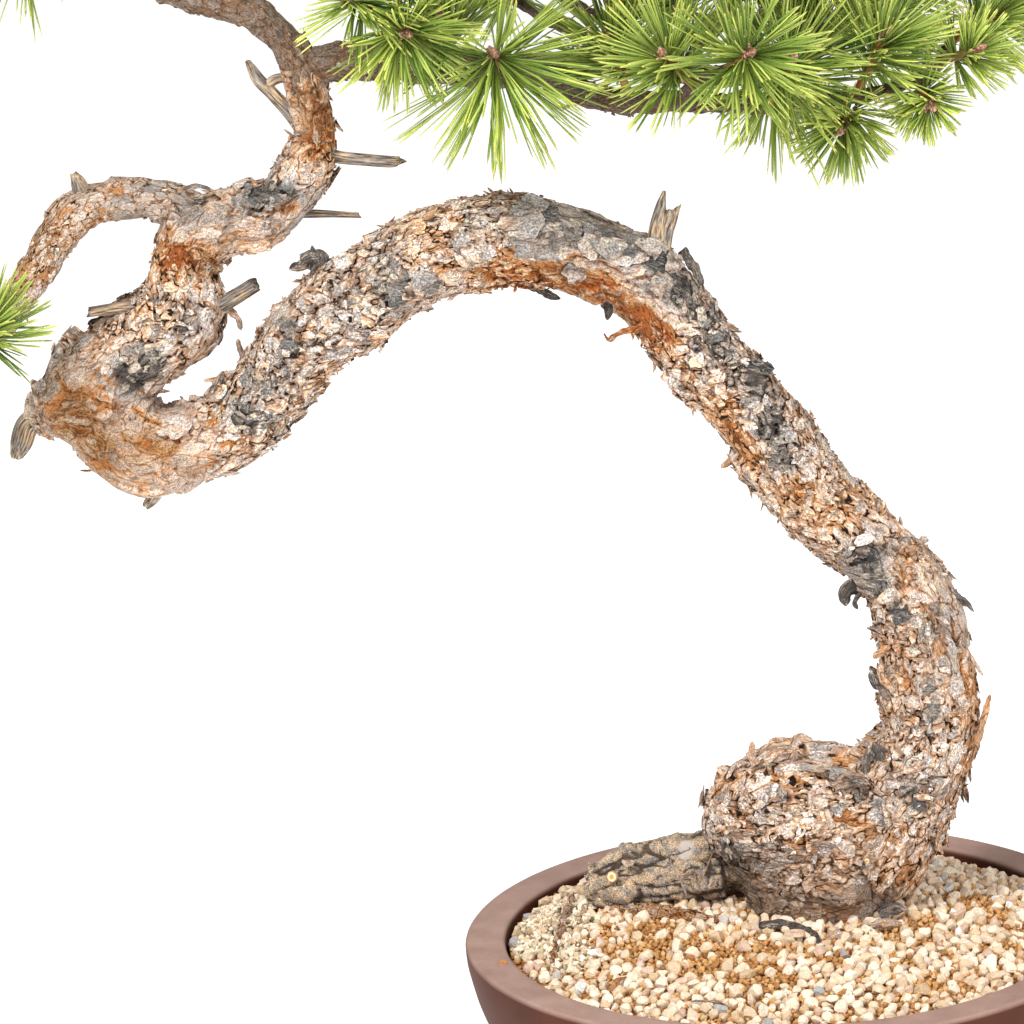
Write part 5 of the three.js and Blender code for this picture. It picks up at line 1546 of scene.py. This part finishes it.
loose_piece("shoots", [stems], shoot_material(), "needles", *spray_names)
loose_piece("buds", buds, bud_material(), "needles", *spray_names)

# %% [markdown]
# ## Cuts and scars
# Where a root or a twig was sawn off, a ring of cream wood shows round a darker core, and the
# bark has closed in round it. Each is one low spindle. Its colour follows the way along it, so
# the callus, the wood and the core, which lie at different heights, take three tones.

# %% Scars
# Each scar has its place, the way that it faces and its radius.
SCARS = [
    ((-74.4, 13.6, 109.4), (-0.45, -0.8, 0.2), 2.2),
    ((33.0, -23.6, 124.0), (0.1, -1.0, -0.2), 1.2),
]
SCAR_PROFILE = [(-1.6, 0), (-1.2, 1.1), (0.1, 1.25), (0.62, 1.16), (0.92, 0.96), (1.0, 0.66),
                (0.84, 0.4), (0.8, 0)]
SCAR_DEPTH = 1.3


def scar_material():
    """Brown callus below, cream wood on the rim and a tan core in the hollow."""
    material, tree = new_material("cut wood", 0.7, 0.3)
    height = fit(tree, attribute(tree, "reach"), 0.6, 1.0)
    colour = ramp(tree, height, (0.0, 150, 130, 108), (0.4, 186, 138, 88), (0.62, 206, 150, 92),
                  (0.8, 232, 198, 148), (1.0, 240, 218, 178))
    return finish_grained(material, colour, scale=1600.0, mottle=0.2, depth=0.3, strength=0.6)


scar_places, scar_ways, scar_radii = (np.array(column) for column in zip(*SCARS))
scars = spindles(scar_places, unit(scar_ways) * SCAR_DEPTH, scar_radii[:, None], SCAR_PROFILE, 14, 0.05)
loose_piece("cut_scars", [scars], scar_material(), "bark", "trunk_and_branches")

# %% [markdown]
# ## The pot
# Unglazed stoneware, thrown on a wheel: a wide bowl on a foot, with a broad flat rim. Its
# profile is a curve through a few points, turned round the axis. Drain holes and the notches
# under the foot are cut out afterwards, as in the real clay.

# %% Pot shape
POT_AROUND = 160
FOOT_LINE = [(0, 0), (60, 0), (82.6, 0), (84, 1.4), (84, 6.2)]
SIDE_LINE = [(84.8, 7), (92, 7.6), (100, 13), (113, 25), (125, 42), (134, 60), (138.6, 77),
             (139.5, 84.6)]
RIM_LINE = [(139.5, 84.6), (139.5, 86.4), (138.8, 87.5), (137.4, 88), (131, 87.9), (124.6, 88),
            (123, 87.6), (122.2, 86.6), (121.9, 84)]
INNER_LINE = [(121.9, 84), (120, 68), (115, 50), (105, 33), (89, 21), (80, 19), (40, 19), (0, 19)]
DRAIN_RING = 44.0
DRAIN_RADIUS = 8.0
NOTCH_WIDTH = 14.0
NOTCH_DEPTH = 5.0
FOOT_RADIUS = 84.0


def curve_through(points, step):
    """A smooth curve through points of radius and height."""
    curve, _ = smooth_line([(r, 0, z) for r, z in points], step)
    return curve[:, [0, 2]]


def turned_rings(radius, height, around):
    """Rings round Z. X is radius times cosine, y is radius times sine, z is the height."""
    turn = turns(around)
    return together(radius[:, None] * np.cos(turn), radius[:, None] * np.sin(turn), height[:, None])


def closed_rings(ring, start, end):
    """Points and faces of rings round Z, closed by a point on the axis at two heights."""
    points = np.vstack([ring.reshape(-1, 3), [[0, 0, start], [0, 0, end]]])
    return points, tube_faces(*ring.shape[:2])


def turned(profile, around, name, material, wobble=0.12):
    """A profile turned round Z. The first and last point lie on the axis. The radius has a
    slight wobble, as a hand-thrown wall has."""
    radius, height = profile[1:-1].T
    ring = turned_rings(radius, height, around)
    waves = wobble * smooth_noise(ring, 30.0, 8) / np.maximum(radius, 20)[:, None]
    ring[..., :2] *= (1 + waves)[..., None]
    points, faces = closed_rings(ring, profile[0, 1], profile[-1, 1])
    return make_piece(name, points, faces, material)


def cut_away(piece, cutter):
    """Takes the cutter's space out of the piece for good, and removes the cutter."""
    step = piece.modifiers.new("cut", "BOOLEAN")
    step.operation = "DIFFERENCE"
    step.solver = "EXACT"
    step.object = cutter
    result = piece.evaluated_get(bpy.context.evaluated_depsgraph_get())
    piece.data = bpy.data.meshes.new_from_object(result)
    piece.modifiers.clear()
    bpy.data.objects.remove(cutter)


def box_points(low, high, turn):
    """The eight corners of a box, turned about Z."""
    corners = np.array([np.where(corner, high, low) for corner in np.ndindex(2, 2, 2)], float)
    cos, sin = math.cos(turn), math.sin(turn)
    return corners @ np.array([[cos, sin, 0], [-sin, cos, 0], [0, 0, 1]])


BOX_FACES = np.array([
    [0, 1, 3, 2], [4, 6, 7, 5], [0, 4, 5, 1], [2, 3, 7, 6], [0, 2, 6, 4], [1, 5, 7, 3]])


def clay_material():
    """Iron-rich clay: a clouded red-brown body with fine dark specks, a greyer, lighter bloom
    on what faces up, and a dry, even sheen."""
    material, tree = new_material("unglazed stoneware", 0.66, 0.15)
    place = object_place(tree)
    body = ramp(tree, noise(tree, place, 22.0, 5.0), (0.3, 67, 35, 24), (0.5, 76, 40, 27),
                (0.72, 85, 47, 34))
    specks = node(tree, "ShaderNodeTexVoronoi", Vector=place, Scale=700.0).outputs["Distance"]
    body = mix(tree, fit(tree, specks, 0.05, 0.16, 0.35, 0.0), body, paint(60, 44, 40))
    dusty = use_group(tree, DUST, Colour=body, Dust=paint(190, 160, 147), Amount=0.66)["Colour"]
    return finish_grained(material, dusty, scale=1300.0, mottle=0.1, depth=0.2, strength=0.35)


CLAY = clay_material()
pot_profile = np.vstack([
    curve_through(FOOT_LINE[:3], 8), np.array(FOOT_LINE[3:]), curve_through(SIDE_LINE, 2.2),
    curve_through(RIM_LINE, 0.8)[1:], curve_through(INNER_LINE, 6)[1:]])
pot = turned(pot_profile, POT_AROUND, "stoneware_bowl", CLAY)
hole_profile = np.array([[0, -10], [DRAIN_RADIUS, -10], [DRAIN_RADIUS, 30], [0, 30]], float)
notch_low = (DRAIN_RING, -NOTCH_WIDTH / 2, -NOTCH_DEPTH)
notch_high = (DRAIN_RING + FOOT_RADIUS, NOTCH_WIDTH / 2, NOTCH_DEPTH)
for i in range(3):
    turn = math.pi / 2 + i * 2 * math.pi / 3
    cut_away(pot, make_piece("notch", box_points(notch_low, notch_high, turn), [BOX_FACES], CLAY))
    hole = turned(hole_profile, 32, "hole", CLAY, wobble=0)
    middle = (DRAIN_RING * math.cos(turn) * MM, DRAIN_RING * math.sin(turn) * MM, 0)
    hole.data.transform(Matrix.Translation(middle))
    cut_away(pot, hole)
dress(pot, "stoneware", "pot")


def mesh_plastic():
    """The netting over the drain holes: matt dark plastic, a little dusty."""
    material, tree = new_material("drain netting", 0.6, 0.4)
    dusty = use_group(tree, DUST, Colour=paint(38, 40, 44), Dust=paint(150, 116, 80), Amount=0.3)
    return finish_grained(material, dusty["Colour"], scale=500.0, mottle=0.1, depth=0.1, strength=0.3)


netting = mesh_plastic()
for name in ("drain_mesh_1", "drain_mesh_2", "drain_mesh_3"):
    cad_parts[name].data.materials.clear()
    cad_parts[name].data.materials.append(netting)

# %% [markdown]
# ## The soil
# Bonsai soil is loose gravel: mostly cream pumice of five or six millimetres, with ochre baked
# clay of two to four between, and a few grey bits. Under the grains lies a plain mound of
# fines. A grain is a ball of twelve or forty-two points, stretched and then cut by chance
# planes, as crushed stone is. Grains are placed one after another and keep apart by a share of
# their sizes. In some places the fine clay lies open, and pumice is rare there.

# %% Soil bed
SOIL_EDGE = 84.0
SOIL_RISE = 13.0
SOIL_RADIUS = 120.6
BED_DROP = 1.6
BED_RINGS = 62
BED_AROUND = 170
BED_BUMP = 0.9
BED_WALL = np.array([(119.3, 68), (113.8, 50), (103.3, 33.5), (84.8, 22), (76, 21.2), (0, 21.2)])


def soil_level(x, y):
    """The mound is a parabola from its middle down to the wall."""
    return SOIL_EDGE + SOIL_RISE * (1 - np.minimum((x ** 2 + y ** 2) / SOIL_RADIUS ** 2, 1))


def bed_material():
    material, tree = new_material("clay fines", 0.95, 0.15)
    cell = node(tree, "ShaderNodeTexVoronoi", Vector=object_place(tree), Scale=600.0)
    crumb = separate(tree, cell.outputs["Color"])[0]
    colour = ramp(tree, crumb, (0.0, 92, 62, 38), (0.5, 144, 100, 60), (1.0, 186, 140, 92))
    return finish_grained(material, colour, scale=900.0, mottle=0.4, depth=0.8, strength=0.8)


def soil_bed():
    """The top is a grid in polar form, with bumps, and the side follows the inside of the bowl
    down to the netting."""
    top = np.sqrt(np.linspace(0, 1, BED_RINGS)) * SOIL_RADIUS
    radius = np.concatenate([top, BED_WALL[:, 0]])
    height = np.concatenate([soil_level(top, 0) - BED_DROP, BED_WALL[:, 1]])
    ring = turned_rings(radius[1:-1], height[1:-1], BED_AROUND)
    bumped = ring[:BED_RINGS - 2]
    bumped[..., 2] += BED_BUMP * rough_noise(bumped * np.array([1, 1, 0]), 3.5, 21, 2)
    points, faces = closed_rings(ring, height[0], height[-1])
    return make_piece("soil_bed", points, [part[:, ::-1] for part in faces], bed_material())


dress(soil_bed(), "soil", "soil")


# %% Grains
def ball(level):
    """An icosahedron, and the same with each face cut in four and pushed out to the ball."""
    golden = (1 + 5 ** 0.5) / 2
    points = np.array([[-1, golden, 0], [1, golden, 0], [-1, -golden, 0], [1, -golden, 0],
                       [0, -1, golden], [0, 1, golden], [0, -1, -golden], [0, 1, -golden],
                       [golden, 0, -1], [golden, 0, 1], [-golden, 0, -1], [-golden, 0, 1]], float)
    points = unit(points)
    faces = np.array([[0, 11, 5], [0, 5, 1], [0, 1, 7], [0, 7, 10], [0, 10, 11], [1, 5, 9], [5, 11, 4],
                      [11, 10, 2], [10, 7, 6], [7, 1, 8], [3, 9, 4], [3, 4, 2], [3, 2, 6], [3, 6, 8],
                      [3, 8, 9], [4, 9, 5], [2, 4, 11], [6, 2, 10], [8, 6, 7], [9, 8, 1]])
    for _ in range(level):
        edges = np.sort(np.vstack([faces[:, [0, 1]], faces[:, [1, 2]], faces[:, [2, 0]]]), 1)
        edges, owner = np.unique(edges, axis=0, return_inverse=True)
        middle = len(points) + owner.ravel().reshape(3, -1)
        points = np.vstack([points, unit(points[edges].sum(1))])
        a, b, c = faces.T
        ab, bc, ca = middle
        split = ((a, ab, ca), (b, bc, ab), (c, ca, bc), (ab, bc, ca))
        faces = np.vstack([np.stack(rows, 1) for rows in split])
    return points, faces


# Where the wood stands in the soil: x, y and radius.
WOOD_IN_SOIL = [(17, 7, 29), *((x, y, 7) for x, y, _, _ in SURFACE_ROOT)]


def clear_of_wood(x, y):
    """Outside the burl's and the root's footprint at soil level."""
    inside = [np.hypot(x - at_x, y - at_y) < reach for at_x, at_y, reach in WOOD_IN_SOIL]
    return ~np.any(inside, axis=0)


# Places where the fine clay lies open: x, y, how far it reaches, and its share.
OCHRE = [
    (-66, -24, 22, 1.1), (-40, -48, 20, 1.1), (-17, -74, 13, 0.9), (-72, 52, 16, 1.0),
    (50, -34, 18, 0.9), (84, 4, 22, 1.0), (60, -84, 12, 0.7), (20, 78, 22, 0.8), (-30, 84, 16, 0.7),
    (-8, -46, 12, 0.7), (14, -64, 9, 0.7), (96, -40, 12, 0.7),
]


def ochre_at(x, y):
    """The share of fine clay: bell curves round the named places, plus a little noise."""
    value = 0.16 + 0.3 * smooth_noise(np.stack([x, y, 0 * x], -1), 16.0, 91)
    for at_x, at_y, reach, strength in OCHRE:
        value = value + strength * np.exp(-((x - at_x) ** 2 + (y - at_y) ** 2) / reach ** 2)
    return np.clip(value, 0, 1)


def scatter(count, sizes, keep, chance, seed, tries=12):
    """Dart throwing: a grain stays if its chance allows it and if it is farther from each
    earlier one than their radii times keep. A coarse grid finds the neighbours."""
    rng = np.random.default_rng(seed)
    radii = rng.uniform(*sizes, count * tries)
    way = (SOIL_RADIUS - radii * 0.8) * np.sqrt(rng.random(len(radii)))
    turn = rng.random(len(radii)) * 2 * np.pi
    at_x, at_y = way * np.cos(turn), way * np.sin(turn)
    wanted = (rng.random(len(radii)) < chance(at_x, at_y)) & clear_of_wood(at_x, at_y)
    cell = 2 * sizes[1]
    grid, kept = {}, []
    for x, y, radius in np.stack([at_x, at_y, radii], 1)[wanted].tolist():
        if len(kept) >= count:
            break
        column, row = int(x // cell), int(y // cell)
        near = [other for i in (-1, 0, 1) for j in (-1, 0, 1)
                for other in grid.get((column + i, row + j), ())]
        if all((x - a) ** 2 + (y - b) ** 2 > ((radius + r) * keep) ** 2 for a, b, r in near):
            grid.setdefault((column, row), []).append((x, y, radius))
            kept.append((x, y, radius))
    return np.array(kept)


GRAIN_CUTS = 10


def grains(spots, level, height, seed, stretch=(0.8, 1.3)):
    """A ball is stretched, cut by planes a little inside it, which moves what lies beyond each
    plane back onto it, then dented by noise, turned and set at a height above the soil."""
    rng = np.random.default_rng(seed)
    shape, faces = ball(level)
    count, each = len(spots), len(shape)
    points = shape[None] * rng.uniform(*stretch, (count, 1, 3))
    for _ in range(GRAIN_CUTS):
        way = unit(rng.standard_normal((count, 3)))
        beyond = np.maximum(np.einsum("gpi,gi->gp", points, way) - rng.uniform(0.58, 0.92, (count, 1)), 0)
        points = points - beyond[..., None] * way[:, None]
    points *= 1 + 0.1 * smooth_noise(points + np.arange(count)[:, None, None] * 7.3, 0.5, seed)[..., None]
    angle = rng.uniform(0, 2 * np.pi, (3, count))
    for axis in range(3):
        a, b = (axis + 1) % 3, (axis + 2) % 3
        cos, sin = np.cos(angle[axis])[:, None], np.sin(angle[axis])[:, None]
        points[..., a], points[..., b] = (
            points[..., a] * cos - points[..., b] * sin, points[..., a] * sin + points[..., b] * cos)
    x, y, radius = spots.T
    z = soil_level(x, y) - BED_DROP + height
    points = points * radius[:, None, None] + np.stack([x, y, z], 1)[:, None]
    return {"points": points.reshape(-1, 3), "faces": copies(faces, count, each),
            "tone": np.repeat(rng.random(count), each)}


def ring_stone(centre, major, minor, tone):
    """A pumice grain with a hole: a circle of minor radius carried round one of major radius,
    with dents."""
    around, section = 20, 10
    turn, spot = turns(around)[:, None], turns(section)[None]
    reach = major + minor * np.cos(spot)
    points = together(reach * np.cos(turn), reach * np.sin(turn), 0.8 * minor * np.sin(spot))
    points = points * (1 + 0.2 * smooth_noise(points, 1.8, 5))[..., None] + np.array(centre)
    row, place = np.meshgrid(np.arange(around), np.arange(section), indexing="ij")
    next_row, next_place = (row + 1) % around, (place + 1) % section
    a, b = row * section + place, next_row * section + place
    c, d = next_row * section + next_place, row * section + next_place
    faces = np.vstack([np.stack([a, b, c], -1).reshape(-1, 3), np.stack([a, c, d], -1).reshape(-1, 3)])
    return {"points": points.reshape(-1, 3), "faces": faces, "tone": np.full(around * section, tone)}


def grain_material(name, *stops):
    """A porous grain: its own tone from the ramp, mottled and pitted by fine noise."""
    material, tree = new_material(name, 0.9, 0.2)
    colour = ramp(tree, attribute(tree, "tone"), *stops)
    return finish_grained(material, colour, scale=1500.0, mottle=0.42, depth=0.9, strength=0.9)


PUMICE = grain_material(
    "pumice", (0.0, 200, 172, 138), (0.3, 220, 198, 170), (0.75, 236, 221, 200),
    (0.88, 214, 186, 160), (0.94, 196, 166, 146), (0.965, 238, 234, 226),
    (0.985, 160, 152, 144), (1.0, 168, 170, 172))
BAKED_CLAY = grain_material(
    "baked clay", (0.0, 168, 116, 68), (0.5, 198, 148, 92), (0.9, 216, 176, 124),
    (1.0, 134, 92, 58))
LICHEN = grain_material(
    "lichen crust", (0.0, 186, 158, 124), (0.5, 230, 212, 184), (0.9, 250, 240, 220),
    (1.0, 190, 186, 148))

PUMICE_COUNT = 1750
PUMICE_RADII = (1.8, 3.4)
CLAY_COUNT = 5400
CLAY_RADII = (0.7, 1.9)
STRAY_SPOT = (-123.5, -31.0, 2.1)  # a bit of clay on the rim
STRAY_HEIGHT = 5.8

pumice_spots = scatter(
    PUMICE_COUNT, PUMICE_RADII, 0.76, lambda x, y: np.maximum(1 - 1.4 * ochre_at(x, y), 0.045), seed=5)
clay_spots = scatter(CLAY_COUNT, CLAY_RADII, 0.78, lambda x, y: 0.12 + 0.88 * ochre_at(x, y), seed=6)
pumice = grains(pumice_spots, 1, 0.5 * pumice_spots[:, 2], seed=51, stretch=(0.8, 1.5))
pierced = ring_stone((1, -38, 97.5), major=2.9, minor=1.5, tone=0.9)
clay = grains(clay_spots, 0, 0.6 * clay_spots[:, 2], seed=52)
stray = grains(np.array([STRAY_SPOT]), 1, np.array([STRAY_HEIGHT]), seed=54)
loose_piece("pumice_grains", [pumice, pierced], PUMICE, "soil", "soil", flat=True)
loose_piece("clay_grains", [clay, stray], BAKED_CLAY, "soil", "soil", flat=True)

# %% [markdown]
# ## On the soil
# A whitish lichen crust lies along the left side, with a dry twig across it. A thick root just
# shows through the soil, and a few scraps of bark have fallen. The crust is hundreds of thin
# chips, and the rest uses the tube and the strip from before.

# %% Crust, twig and scraps
CRUST = [(-107, 14), (-100, 31), (-92, 8), (-99, -17), (-94, -36), (-110, -10), (-88, 34)]
CHIPS_EACH = 125
CHIP_RADII = (0.7, 1.9)

rng = np.random.default_rng(71)
chip_count = len(CRUST) * CHIPS_EACH
chip_places = np.repeat(np.array(CRUST, float), CHIPS_EACH, 0) + 5.0 * rng.standard_normal((chip_count, 2))
chip_spots = np.hstack([chip_places, rng.uniform(*CHIP_RADII, (chip_count, 1))])
chip_spots = chip_spots[np.hypot(*chip_spots[:, :2].T) < SOIL_RADIUS - 1.5]
chip_heights = rng.uniform(1.5, 5.5, len(chip_spots))
chips = grains(chip_spots, 0, chip_heights, seed=72, stretch=(0.16, 2.0))
loose_piece("lichen_crust", [chips], LICHEN, "soil", "soil", flat=True)

FALLEN = [
    ([(-14, -28, 99), (-5, -31, 100), (4, -35, 99), (9, -41, 97.5), (10, -48, 96)], 1.9, 1.9, 40),
    ([(38, -20, 98), (44, -20, 101), (50, -19, 99)], 3.2, 1.4, 50),
    ([(34, -30, 97), (40, -31, 99), (47, -29, 97)], 2.2, 0.9, 60),
    ([(14, -41, 97), (19, -43, 98.5), (25, -42, 97)], 1.8, 0.6, 50),
    ([(-79, -72, 89), (-76, -69, 92), (-72, -65, 91.5)], 1.3, -0.7, 40),
    ([(-30, -100, 89), (-38, -97, 90.5), (-46, -94, 90)], 0.8, 0.8, 40),
]
DRY_TWIG = [(-92, 42, 92, 1.1), (-97, 6, 92.6, 1.2), (-102, -30, 90.6, 1.0)]
THICK_ROOT = [(-75, 21, 92, 2), (-62, 9, 95, 3), (-51, -1, 96.5, 3.2), (-41, -8, 97, 2.8),
              (-30, -14, 96, 1.5)]
fallen = [
    bark_tube(DRY_TWIG, 0.8, 10, seed=91, coarse=0.35),
    bark_tube(THICK_ROOT, 0.9, 26, seed=92, coarse=0.5),
    *[strip(*facts, seed=60 + i) for i, facts in enumerate(FALLEN)],
]
for tube, tone in zip(fallen, (-0.5, -0.7)):
    tube["weather"] = tube["weather"] + tone
bark_piece("fallen_bark", fallen)
